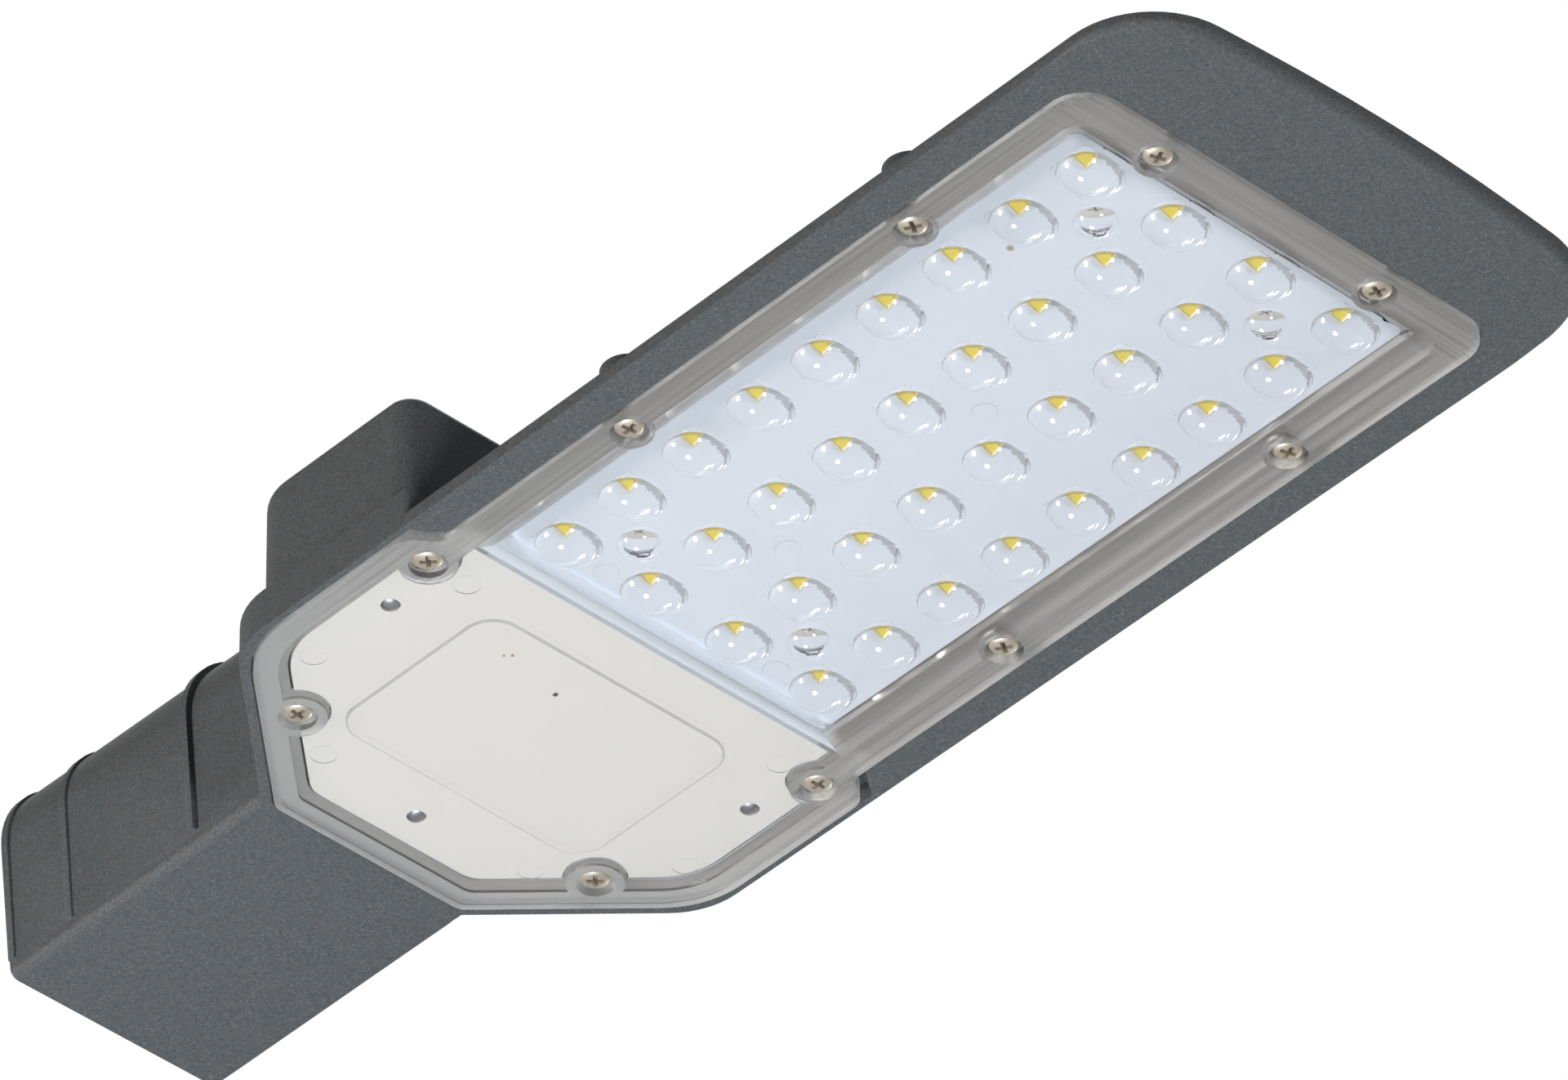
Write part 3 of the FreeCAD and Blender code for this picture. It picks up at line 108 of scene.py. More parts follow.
def makeMesh(name, bm, angle=35):                   # smooth, and sharp where it turns by more than the angle
    mesh = plainMesh(name, bm)
    for face in mesh.polygons:
        face.use_smooth = True
    mesh.set_sharp_from_angle(angle=math.radians(angle))
    return mesh


def placePiece(name, mesh, materials, slot, *nodes):    # a finished piece in place of its CAD nodes
    for material in materials:
        mesh.materials.append(material)
    piece = bpy.data.objects.new(name, mesh)
    scene.collection.objects.link(piece)
    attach(piece, body)
    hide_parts(*nodes)
    return piece


def softenEdges(piece, width, segments=2):          # rounds the edges that turn by 30 degrees or more
    bevel = piece.modifiers.new("softEdges", "BEVEL")
    bevel.width = width * mm
    bevel.segments = segments
    bevel.limit_method = "ANGLE"
    bevel.angle_limit = math.radians(30)
    bevel.miter_outer = "MITER_ARC"
    bevel.harden_normals = True
    return bevel


def levelShading(piece):                            # large flat faces keep their own normal
    weighted = piece.modifiers.new("levelShading", "WEIGHTED_NORMAL")
    weighted.keep_sharp = True
    weighted.weight = 100


def turnProfile(bm, profile, steps):                # spins (radius, height) points in mm round Z
    verts = [bm.verts.new((r * mm, 0, z * mm)) for r, z in profile]
    edges = [bm.edges.new(pair) for pair in zip(verts, verts[1:])]
    bmesh.ops.spin(bm, geom=verts + edges, axis=(0, 0, 1), cent=(0, 0, 0), angle=math.tau, steps=steps,
                   use_merge=True)
    bmesh.ops.remove_doubles(bm, verts=bm.verts[:], dist=2 * weldMm * mm)
    bmesh.ops.recalc_face_normals(bm, faces=bm.faces[:])


def atHeight(verts, height):                        # whether they all lie at a height in mm
    return all(abs(v.co.z / mm - height) < 0.01 for v in verts)


def stamp(bm, mesh, place, turn=0.0):               # one more copy of a mesh, at a place in mm
    first = len(bm.verts)
    bm.from_mesh(mesh)
    bm.verts.ensure_lookup_table()
    added = bm.verts[first:]
    bmesh.ops.rotate(bm, verts=added, cent=(0, 0, 0), matrix=Matrix.Rotation(turn, 3, "Z"))
    bmesh.ops.translate(bm, verts=added, vec=Vector(place) * mm)


# Materials: one general recipe for moulded, cast and plated surfaces, then the special ones.
# A real grain finer than 0.3 mm wouldn't show in the render, so each is drawn that coarse or coarser.

plainLook = dict(cloudMm=18.0, roughSpread=0.05, metal=0.0, bump=0.3, bumpMm=0.03)     # where a look gives none


def surface(name, look):                            # fine grain in gloss and bump, a slow cloud in colour
    look = {**plainLook, **look}
    material, tree = newMaterial(name)
    place = addNode(tree, "TexCoord").outputs["Object"]
    grain = addNode(tree, "TexNoise", {"Vector": place, "Scale": 1 / (look["grainMm"] * mm),
                                       "Detail": 3.0, "Roughness": 0.6}).outputs["Fac"]
    cloud = addNode(tree, "TexNoise", {"Vector": place, "Scale": 1 / (look["cloudMm"] * mm),
                                       "Detail": 2.0}).outputs["Fac"]
    tone = addNode(tree, "Mix", {0: cloud, 6: linearColour(look["colour"]), 7: linearColour(look["tint"])},
                   data_type="RGBA").outputs[2]
    dull = addNode(tree, "MapRange", {"Value": grain, "From Min": 0.3, "From Max": 0.7,
                                      "To Min": look["rough"] - look["roughSpread"],
                                      "To Max": look["rough"] + look["roughSpread"]}).outputs[0]
    bump = addNode(tree, "Bump", {"Height": grain, "Strength": look["bump"],
                                  "Distance": look["bumpMm"] * mm}).outputs[0]
    shader = addNode(tree, "BsdfPrincipled", {"Base Color": tone, "Metallic": look["metal"],
                                              "Roughness": dull, "Normal": bump})
    addNode(tree, "OutputMaterial", {"Surface": shader.outputs[0]})
    return material


powderLook = dict(
    dark="#4B4D50", light="#66696C", grainMm=0.8,                   # ground tone and the size of its clots
    fleck="#858A8D", fleckMm=0.45, fleckShare=0.6, fleckGloss=0.2,  # paler flecks, less rough than the ground
    teal="#48575B", brown="#58524E", hueMm=1.6, hueShare=0.25,      # cooler and warmer patches
    rough=0.62, specular=0.3, peel=0.4, peelMm=0.6, peelDeep=0.08,  # matt, with the coat's orange peel
)


def powderCoat():                                   # textured polyester powder on aluminium: matt, speckled
    look = powderLook
    material, tree = newMaterial("dieCastPowderCoat")
    place = addNode(tree, "TexCoord").outputs["Object"]
    grain = addNode(tree, "TexNoise", {"Vector": place, "Scale": 1 / (look["grainMm"] * mm), "Detail": 4.0,
                                       "Roughness": 0.7}).outputs["Fac"]
    spread = addNode(tree, "MapRange", {"Value": grain, "From Min": 0.35, "From Max": 0.65}).outputs[0]
    tone = addNode(tree, "Mix", {0: spread, 6: linearColour(look["dark"]), 7: linearColour(look["light"])},
                   data_type="RGBA").outputs[2]
    specks = addNode(tree, "TexNoise", {"Vector": place, "Scale": 1 / (look["fleckMm"] * mm),
                                        "Detail": 1.0}).outputs["Fac"]
    specks = addNode(tree, "MapRange", {"Value": specks, "From Min": 0.6, "From Max": 0.7,
                                        "To Max": look["fleckShare"]}).outputs[0]
    tone = addNode(tree, "Mix", {0: specks, 6: tone, 7: linearColour(look["fleck"])},
                   data_type="RGBA").outputs[2]
    hue = addNode(tree, "TexNoise", {"Vector": place, "Scale": 1 / (look["hueMm"] * mm),
                                     "Detail": 2.0}).outputs["Fac"]
    hue = addNode(tree, "MapRange", {"Value": hue, "From Min": 0.35, "From Max": 0.65}).outputs[0]
    hue = addNode(tree, "Mix", {0: hue, 6: linearColour(look["teal"]), 7: linearColour(look["brown"])},
                  data_type="RGBA").outputs[2]
    tone = addNode(tree, "Mix", {0: look["hueShare"], 6: tone, 7: hue}, data_type="RGBA").outputs[2]
    peel = addNode(tree, "TexNoise", {"Vector": place, "Scale": 1 / (look["peelMm"] * mm),
                                      "Detail": 2.0}).outputs["Fac"]
    bump = addNode(tree, "Bump", {"Height": peel, "Strength": look["peel"],
                                  "Distance": look["peelDeep"] * mm}).outputs[0]
    dull = addNode(tree, "MapRange", {"Value": specks, "To Min": look["rough"],
                                      "To Max": look["rough"] - look["fleckGloss"]}).outputs[0]
    shader = addNode(tree, "BsdfPrincipled", {"Base Color": tone, "Roughness": dull, "Normal": bump,
                                              "Specular IOR Level": look["specular"]})
    addNode(tree, "OutputMaterial", {"Surface": shader.outputs[0]})
    return material


polishedLook = dict(tint="#FCFCFD", rippleMm=14.0, rippleDeep=0.2, through=1.0, shadow="#FFFFFF")
clearLook = dict(polishedLook, rough=0.02, ior=1.58, ripple=0.06)
insideLook = dict(polishedLook, rough=0.0, ior=1.16, ripple=0.0)    # bends light less, so the board stays clear
softLook = dict(ior=1.5, rippleMm=5.0, rippleDeep=0.2, ripple=0.12, shadow="#F4F4F3")
wallLook = dict(softLook, tint="#E9EEF4", rough=0.3, through=0.18)
# grey tint for steep flanks and slopes: painted shade
flankShadeLook = dict(softLook, tint="#BFBEBD", rough=0.14, through=0.8)
hazyLook = dict(
    softLook, tint="#EFEFEF", rough=0.33, through=0.82,
    streak="#C2BEBA", streakMm=0.9, streakLong=70.0,                # moulding lines, their width and length
    linesFrom=(120.0, 160.0), turnAt=(355.0, 361.0),                # in X: where they begin, and turn across
    deep="#A19D99", paintedShadeZ=(-29.1, -26.2), wallFrom=(179.0, 182.0),       # painted shade darker down the walls: its colour, its range in Z and from X on
)


def flowTone(tree, place, look):                    # moulding lines along the rim, and painted shade darker down the walls
    parts = addNode(tree, "SeparateXYZ", {"Vector": place}).outputs
    ramps = {}
    for name, axis in (("turnAt", 0), ("linesFrom", 0), ("paintedShadeZ", 2), ("wallFrom", 0)):
        low, high = look[name]
        ramps[name] = addNode(tree, "MapRange", {"Value": parts[axis], "From Min": low * mm,
                                                 "From Max": high * mm}).outputs[0]
    fine, slow = 1 / (look["streakMm"] * mm), 1 / (look["streakLong"] * mm)
    sets = []
    for scale in ((slow, fine, fine), (fine, slow, fine)):
        moved = addNode(tree, "VectorMath", {0: place, 1: scale}, operation="MULTIPLY").outputs[0]
        noise = addNode(tree, "TexNoise", {"Vector": moved, "Scale": 1.0, "Detail": 3.0}).outputs["Fac"]
        sets.append(addNode(tree, "MapRange", {"Value": noise, "From Min": 0.4, "From Max": 0.75}).outputs[0])
    line = addNode(tree, "Mix", {0: ramps["turnAt"], 2: sets[0], 3: sets[1]}, data_type="FLOAT").outputs[0]
    line = addNode(tree, "Math", {0: line, 1: ramps["linesFrom"]}, operation="MULTIPLY").outputs[0]
    tone = addNode(tree, "Mix", {0: line, 6: linearColour(look["tint"]), 7: linearColour(look["streak"])},
                   data_type="RGBA").outputs[2]
    # painted shade: the walls turn darker deeper in the recess, from the window's end on
    down = addNode(tree, "Math", {0: ramps["paintedShadeZ"], 1: ramps["wallFrom"]},
                   operation="MULTIPLY").outputs[0]
    return addNode(tree, "Mix", {0: down, 6: tone, 7: linearColour(look["deep"])},
                   data_type="RGBA").outputs[2]


def polycarbonate(name, look):                      # clear plastic that lets light through to the board
    material, tree = newMaterial(name)
    place = addNode(tree, "TexCoord").outputs["Object"]
    ripple = addNode(tree, "TexNoise", {"Vector": place, "Scale": 1 / (look["rippleMm"] * mm)}).outputs["Fac"]
    bump = addNode(tree, "Bump", {"Height": ripple, "Strength": look["ripple"],
                                  "Distance": look["rippleDeep"] * mm}).outputs[0]
    tone = flowTone(tree, place, look) if "streak" in look else linearColour(look["tint"])
    clear = addNode(tree, "BsdfPrincipled", {"Base Color": tone, "Roughness": look["rough"],
                                             "IOR": look["ior"], "Transmission Weight": look["through"],
                                             "Normal": bump})
    letThrough = addNode(tree, "BsdfTransparent", {"Color": linearColour(look["shadow"])})
    shadowRay = addNode(tree, "LightPath").outputs["Is Shadow Ray"]
    mix = addNode(tree, "MixShader", {0: shadowRay, 1: clear.outputs[0], 2: letThrough.outputs[0]})
    addNode(tree, "OutputMaterial", {"Surface": mix.outputs[0]})
    return material


speckLook = dict(wobbleMm=0.5, shake=1.1, core=0.6)     # ragged outline, and its share with the full tone


def speckedSurface(name, look, specks):             # a pale sheet with a few grains of dirt where they lie
    material = surface(name, look)
    tree = material.node_tree
    shader = next(n for n in tree.nodes if n.type == "BSDF_PRINCIPLED")
    place = next(n for n in tree.nodes if n.type == "TEX_COORD").outputs["Object"]
    shake = speckLook["shake"] * mm
    wobble = addNode(tree, "TexNoise", {"Vector": place,
                                        "Scale": 1 / (speckLook["wobbleMm"] * mm)}).outputs["Color"]
    wobble = addNode(tree, "VectorMath", {0: wobble, 1: (shake, shake, 0.0)}, operation="MULTIPLY").outputs[0]
    moved = addNode(tree, "VectorMath", {0: place, 1: wobble}, operation="ADD").outputs[0]
    tone = shader.inputs["Base Color"].links[0].from_socket
    for x, y, z, radius, colour in specks:
        spot = (x * mm + shake / 2, y * mm + shake / 2, z * mm)
        away = addNode(tree, "VectorMath", {0: moved, 1: spot}, operation="DISTANCE").outputs["Value"]
        dark = addNode(tree, "MapRange", {"Value": away, "From Min": radius * mm,
                                          "From Max": speckLook["core"] * radius * mm}).outputs[0]
        tone = addNode(tree, "Mix", {0: dark, 6: tone, 7: linearColour(colour)}, data_type="RGBA").outputs[2]
    tree.links.new(tone, shader.inputs["Base Color"])
    return material


windingLook = dict(dark="#6B3413", light="#C97B3E", metal=0.9, rough=0.3, coat=0.5, bump=0.8, bumpMm=0.3,
                   wavePerMm=0.6, waver=0.4)        # this wave scale gives wire of about 0.5 mm


def windingCopper():                                # enamelled copper wire, layer on layer
    look = windingLook
    material, tree = newMaterial("enamelledCopperWinding")
    place = addNode(tree, "TexCoord").outputs["Object"]
    turns = addNode(tree, "TexWave", {"Vector": place, "Scale": look["wavePerMm"] / mm,
                                      "Distortion": look["waver"]}, bands_direction="Z").outputs["Fac"]
    # painted shade: dark in the grooves between turns, light on the wires' tops, in step with the bump
    tone = addNode(tree, "Mix", {0: turns, 6: linearColour(look["dark"]), 7: linearColour(look["light"])},
                   data_type="RGBA").outputs[2]
    bump = addNode(tree, "Bump", {"Height": turns, "Strength": look["bump"],
                                  "Distance": look["bumpMm"] * mm}).outputs[0]
    shader = addNode(tree, "BsdfPrincipled", {"Base Color": tone, "Metallic": look["metal"],
                                              "Roughness": look["rough"], "Normal": bump,
                                              "Coat Weight": look["coat"]})
    addNode(tree, "OutputMaterial", {"Surface": shader.outputs[0]})
    return material


finishes = {                                        # plain names, and what each gives the eye
    "siliconeSeal": dict(colour="#9C9792", tint="#938E89", grainMm=0.5, rough=0.55),    # grey, soft, matt
    "nickelScrew": dict(colour="#D2C8B8", tint="#BFB4A2", grainMm=0.4, rough=0.42,
                        metal=0.5),                 # warm bright plating
    "recessShade": dict(colour="#221E1A", tint="#171411", grainMm=0.4, rough=0.5,
                        metal=0.2),                 # painted shade: unlit cross recess
    "paleScrewPaintedLight": dict(colour="#DAD8D2", tint="#CDCAC3", grainMm=0.4, rough=0.5,
                          metal=0.35),              # painted light: a paler copy of the screw plating, whitish under the caps over it
    "stainlessPin": dict(colour="#B4B6B8", tint="#A3A5A7", grainMm=0.4, rough=0.36,
                         metal=1.0),                # small bright heads
    "zincPlatedSteel": dict(colour="#B9BAB8", tint="#A5A69F", grainMm=0.5, rough=0.32, metal=1.0,
                            cloudMm=6.0),           # cool plating with a faint yellow cloud
    "galvanisedDriverCase": dict(colour="#B4B6B7", tint="#9EA1A3", grainMm=1.2, rough=0.4, metal=1.0,
                                 cloudMm=9.0),      # folded sheet with zinc spangle
    "siliconePad": dict(colour="#8B8E92", tint="#7F8286", grainMm=0.4, rough=0.8),      # dry grey rubber film
    "whiteNylon": dict(colour="#DAD8CC", tint="#D2CFC2", grainMm=0.6, rough=0.45),      # connector housings
    "greenSolderMask": dict(colour="#175A2C", tint="#1F6B37", grainMm=1.5, rough=0.35,
                            cloudMm=4.0),           # glossy lacquer over copper
    "ferrite": dict(colour="#232426", tint="#2C2D30", grainMm=0.3, rough=0.6),          # sintered and dark
    "capacitorSleeve": dict(colour="#1A1F33", tint="#20263D", grainMm=0.8, rough=0.3),  # shrunk glossy sleeve
    "polyamideTerminal": dict(colour="#D0D0CB", tint="#C6C6C0", grainMm=0.5, rough=0.5),    # off-white, matt
    "redLead": dict(colour="#9E1F1C", tint="#8C1A18", grainMm=0.5, rough=0.4),          # soft vinyl sleeves
    "blackLead": dict(colour="#151515", tint="#1E1E1E", grainMm=0.5, rough=0.4),
    "brownLead": dict(colour="#4A2816", tint="#3F2112", grainMm=0.5, rough=0.4),
    "blueLead": dict(colour="#15378A", tint="#122F78", grainMm=0.5, rough=0.4),
    "rubberGrommet": dict(colour="#2A2A2A", tint="#333333", grainMm=0.6, rough=0.7),    # dull black rubber
    "ledBody": dict(colour="#E8E6DA", tint="#DEDBCB", grainMm=0.5, rough=0.4),          # moulded white frame
    "phosphorGel": dict(colour="#FFEA72", tint="#FBE25E", grainMm=0.3, rough=0.35),     # yellow under clear gel
}
made = {name: surface(name, look) for name, look in finishes.items()}
made["powderCoat"] = powderCoat()
made["clearCover"] = polycarbonate("clearPolycarbonate", clearLook)     # polished: sharp glints, faint ripples
made["lensInside"] = polycarbonate("lensInnerSide", insideLook)         # no mirror at the lenses' inner side
made["lensFlank"] = polycarbonate("flankShadePolycarbonate", flankShadeLook)      # painted shade: greyish crescents on the lenses' steep flanks
made["frostedWall"] = polycarbonate("frostedPolycarbonate", wallLook)   # catches the light beside the board
made["hazyRim"] = polycarbonate("hazyPolycarbonate", hazyLook)          # off the polish: milky, soft gradients, painted shade down the recess walls
made["windingCopper"] = windingCopper()
print("materials made:", len(made))


# Cast housing: the CAD form with the soft edges of a die casting under powder coat

housingLook = dict(
    edgeMm=0.5,                                     # soft edges all over
    rim=-29.0, upright=0.2, endAngle=1.2,           # lower outline: height, walls' normal, least turn in rad
    endFrom=376.0, endFull=386.0, endLeast=0.2,     # the far end's edge grows rounder between these X
    endRound=2.4, endSegments=6,
)


def makeHousing():
    look = housingLook
    bm = cadCopy("housing")
    mergeFlats(bm)
    roundness = bm.edges.layers.float.new("bevel_weight_edge")
    for edge in bm.edges:                           # the far end's lower edge is rounder than the others
        walls = any(abs(f.normal.z) < look["upright"] for f in edge.link_faces)
        along = min(v.co.x / mm for v in edge.verts)
        if (walls and along > look["endFrom"] and atHeight(edge.verts, look["rim"])
                and edge.calc_face_angle() > look["endAngle"]):
            share = min((along - look["endFrom"]) / (look["endFull"] - look["endFrom"]), 1)
            edge[roundness] = look["endLeast"] + (1 - look["endLeast"]) * share
    piece = placePiece("castHousing", makeMesh("castHousing", bm), [made["powderCoat"]], "housing_paint",
                       "housing")
    endEdge = softenEdges(piece, look["endRound"], look["endSegments"])
    endEdge.limit_method = "WEIGHT"
    softenEdges(piece, look["edgeMm"])


makeHousing()
print("housing made")


# Clear cover: the CAD form, with the 36 lenses and 4 caps of its recess shaped finer

lensLook = dict(
    columns=9, rows=4, pitch=20.0, rowPitch=24.5, centreX=268.5,    # array along and across the head
    face=-25.4, back=-23.2,                                         # outer and inner side of the recess, in Z
    radius=6.5, height=4.3,                                         # main dome
    lobes=((1.5, 6.3, 2.6), (2.9, 5.9, 1.3)),                       # shift to a side, radius and height of each
    crease=0.18, shelfLean=0.7, shelfFrom=1.5, footLean=0.5,        # creases, and how steep a hazy flank is
    discRadius=9.0, discShift=1.0, rings=27, flatRings=2, steps=64,     # disc of mesh that carries the lens
    pocket=11.0, pocketRound=1.0, pocketDeep=0.5,                   # square pocket in the inner side
    capRadius=4.9, capHeight=3.4, capSteps=48, capOffset=3.5,       # caps over the board's screws
    capHollow=3.2, capHollowDeep=1.2, hollowSteps=32,
    marks=((187.0, -23.5), (187.0, 25.5), (218.5, 0.0), (279.0, 0.0)),      # round marks of the mould
    markRadius=2.9, markRaised=0.1, markSlope=0.1, markSteps=40,
)
coverFinishes = ("clearCover", "hazyRim", "lensInside", "frostedWall", "lensFlank")
polished, hazy, inside, frosted, flank = range(len(coverFinishes))


def domeHeight(distance, radius, height):           # a dome of one sphere, below zero outside its foot
    sphere = (radius * radius + height * height) / (2 * height)
    return math.sqrt(max(sphere * sphere - distance * distance, 0)) - (sphere - height)


def softMax(a, b, blend):                           # the larger, with a small fillet where both are alike
    return max(a, b) + max(blend - abs(a - b), 0) ** 2 / (4 * blend)


def lensHeight(x, y):                               # how far the lens stands out of the recess
    look = lensLook
    up = domeHeight(math.hypot(x, y), look["radius"], look["height"])
    for shift, radius, height in look["lobes"]:
        reach = math.hypot(x, y - shift) / radius   # flat shelves with a steep edge
        up = softMax(up, height * math.sqrt(1 - reach ** 6) if reach < 1 else 1 - reach, look["crease"])
    return up


def footRadius(angle):                              # how far the lens reaches from the disc's middle
    low, high = 0.0, lensLook["discRadius"]
    for _ in range(24):
        middle = (low + high) / 2
        x, y = middle * math.cos(angle), middle * math.sin(angle) + lensLook["discShift"]
        low, high = (middle, high) if lensHeight(x, y) > 0 else (low, middle)
    return low


def makeDisc(rings, steps):                         # a flat disc of radius 1, spun from one line of points
    bm = bmesh.new()
    verts = [bm.verts.new((ring / rings, 0, 0)) for ring in range(rings + 1)]
    edges = [bm.edges.new(pair) for pair in zip(verts, verts[1:])]
    bmesh.ops.spin(bm, geom=verts + edges, axis=(0, 0, 1), cent=(0, 0, 0), angle=math.tau, steps=steps,
                   use_merge=True)
    bmesh.ops.remove_doubles(bm, verts=bm.verts[:], dist=1e-5)
    return bm


def makeLens():
    look = lensLook
    rings = look["rings"] + look["flatRings"]
    bm = makeDisc(rings, look["steps"])
    foot = {}
    for vert in bm.verts:
        angle = round(math.atan2(vert.co.y, vert.co.x), 4)
        reach = vert.co.xy.length * rings / look["rings"]       # 1 at the foot of the lens
        if angle not in foot:
            foot[angle] = footRadius(angle)
        if reach <= 1:
            radius = reach * foot[angle]
        else:
            outside = (reach - 1) * look["rings"] / look["flatRings"]
            radius = foot[angle] + (look["discRadius"] - foot[angle]) * outside
        x = radius * math.cos(angle)
        y = radius * math.sin(angle) + look["discShift"]
        up = lensHeight(x, y) if reach < 0.999 else 0.0
        vert.co = (x * mm, y * mm, (look["face"] - max(up, 0)) * mm)
    bm.normal_update()
    for face in bm.faces:                           # steep flanks of the shelves and of the dome's foot, greyed as painted shade
        middle = face.calc_center_median() / mm
        lean = look["shelfLean"] if middle.y > look["shelfFrom"] else look["footLean"]
        if abs(face.normal.z) < lean and middle.z < look["face"] - 0.05:
            face.material_index = flank
    return plainMesh("lensDisc", bm)


def makeDome(radius, height, base, steps, rings=10, oval=False):    # part of a sphere, or half an oval body
    bm = makeDisc(rings, steps)
    for vert in bm.verts:
        reach = vert.co.xy.length
        if oval:
            up = height * math.sqrt(max(1 - reach * reach, 0))
        else:
            up = domeHeight(reach * radius, radius, height)
        vert.co = (vert.co.x * radius * mm, vert.co.y * radius * mm, (base - max(up, 0)) * mm)
    return plainMesh("dome", bm)


def lensPlaces():
    look = lensLook
    for column in range(look["columns"]):
        for row in range(look["rows"]):
            x = look["centreX"] + (column - (look["columns"] - 1) / 2) * look["pitch"]
            yield x, (row - (look["rows"] - 1) / 2) * look["rowPitch"]


def capPlaces():
    look = lensLook
    for along in (-1, 1):
        for across in (-1, 1):
            yield look["centreX"] + along * look["capOffset"] * look["pitch"], across * look["rowPitch"]


def fillBetween(bm, height):                        # a flat sheet between an outline and the holes in it
    edges = [e for e in bm.edges if e.is_boundary and atHeight(e.verts, height)]
    bmesh.ops.triangle_fill(bm, edges=edges, use_beauty=True, use_dissolve=False)


def makePocket():                                   # square pocket in the inner side, over the light source
    look = lensLook
    bm = bmesh.new()
    square = bmesh.ops.create_grid(bm, x_segments=1, y_segments=1, size=look["pocket"] / 2 * mm)["verts"]
    bmesh.ops.translate(bm, verts=square, vec=(0, 0, (look["back"] - look["pocketDeep"]) * mm))
    bmesh.ops.bevel(bm, geom=square, offset=look["pocketRound"] * mm, affect="VERTICES", segments=4,
                    profile=0.5, material=-1)
    raised = bmesh.ops.extrude_edge_only(bm, edges=[e for e in bm.edges if e.is_boundary])["geom"]
    mouth = [g for g in raised if isinstance(g, bmesh.types.BMVert)]
    bmesh.ops.translate(bm, verts=mouth, vec=(0, 0, look["pocketDeep"] * mm))
    for face in bm.faces:
        face.material_index = inside
    return plainMesh("pocket", bm)


def makeMark():                                     # of a raised round mark, only the lip is seen, greyed as painted shade
    look = lensLook
    low = look["face"] - look["markRaised"]
    bm = bmesh.new()
    profile = [(0, low), (look["markRadius"] - look["markSlope"], low), (look["markRadius"], look["face"])]
    turnProfile(bm, profile, look["markSteps"])
    for face in bm.faces:
        face.material_index = flank if abs(face.normal.z) < 0.95 else polished
    return plainMesh("ejectorMark", bm)


coverLook = dict(
    face=-29.8, band=-29.4, back=-25.5,                             # rim, its band and its inner side, in Z
    rimRound=0.36, rimTurn=0.6, offSeal=0.04,                       # its edges, and the gap to the seal
    glass=-28.6, glassBack=-26.6, windowEnd=178.0, markDeep=0.14,   # window, its end in X and its mould marks
    panel=-29.1, panelMiddle=138.45, panelGrow=0.25, panelProud=0.38,       # raised rectangle in the window
    nearWall=(175.9, 178.3), nearEdge=181.2,                        # frosted wall and strip beside the window
    outerField=(178.1, 356.5, 46.9), innerField=(176.1, 358.5, 48.9),       # floor: X range and half its width
    outerRise=1.0, innerRise=1.3,                                   # reach past the plain lenses and pockets
    sharp=23,                                                       # its edges stay sharp from this angle on
)


def inRecess(face, near, far, half, low, high):     # whether a face lies in that box, with a slight tolerance
    return all(near - 0.01 < v.co.x / mm < far + 0.01 and abs(v.co.y / mm) < half + 0.01
               and low - 0.01 < v.co.z / mm < high + 0.01 for v in face.verts)


def coverFinish(face):                              # which of the cover's finishes a face has
    look = coverLook
    middle = face.calc_center_median()
    along, height, lean = middle.x / mm, middle.z / mm, abs(face.normal.z)
    inWindow = along < look["windowEnd"]
    sheet = look["panel"] - 0.05 < height < look["glass"] + 0.2 or abs(height - look["glassBack"]) < 0.02
    near, far = look["nearWall"]
    if abs(face.normal.x) > 0.9 and near < along < far and height > look["glass"]:
        return frosted                              # wall between the window and the recess
    if lean < 0.5 and look["glassBack"] < height < look["back"] and inWindow:
        return frosted                              # upright sides behind the window
    if sheet and lean < 0.99 and inWindow and height < look["glass"] - 0.05:
        return flank                                # slopes of the raised rectangle, greyed as painted shade
    if lean < 0.99 and all(-0.01 < v.co.z / mm - look["glass"] < look["markDeep"] + 0.01 for v in face.verts):
        return flank                                # edges of the mould marks, greyed as painted shade
    return polished if sheet and lean > 0.99 and inWindow else hazy


def shapeShell(bm):                                 # soft rim, faint mould marks, finishes of the faces
    look = coverLook
    mergeFlats(bm)
    for vert in bm.verts:
        height = vert.co.z / mm
        if look["glass"] + 0.01 < height < look["glass"] + 0.5 and vert.co.x / mm < look["windowEnd"]:
            vert.co.z = (look["glass"] + look["markDeep"]) * mm
        elif abs(height - look["back"]) < 0.01:
            vert.co.z -= look["offSeal"] * mm
        elif abs(height - look["panel"]) < 0.01:    # a steeper step round the raised rectangle
            vert.co.x += math.copysign(look["panelGrow"] * mm, vert.co.x - look["panelMiddle"] * mm)
            vert.co.y += math.copysign(look["panelGrow"] * mm, vert.co.y)
            vert.co.z = (look["glass"] - look["panelProud"]) * mm
    rim = [e for e in bm.edges if len(e.link_faces) == 2 and e.calc_face_angle() > look["rimTurn"]
           and (atHeight(e.verts, look["face"]) or atHeight(e.verts, look["band"]))
           and e.calc_face_angle_signed() > 0]
    bmesh.ops.bevel(bm, geom=rim, offset=look["rimRound"] * mm, offset_type="OFFSET", affect="EDGES",
                    segments=4, profile=0.5, material=-1, clamp_overlap=True)
    for face in bm.faces:
        face.material_index = coverFinish(face)


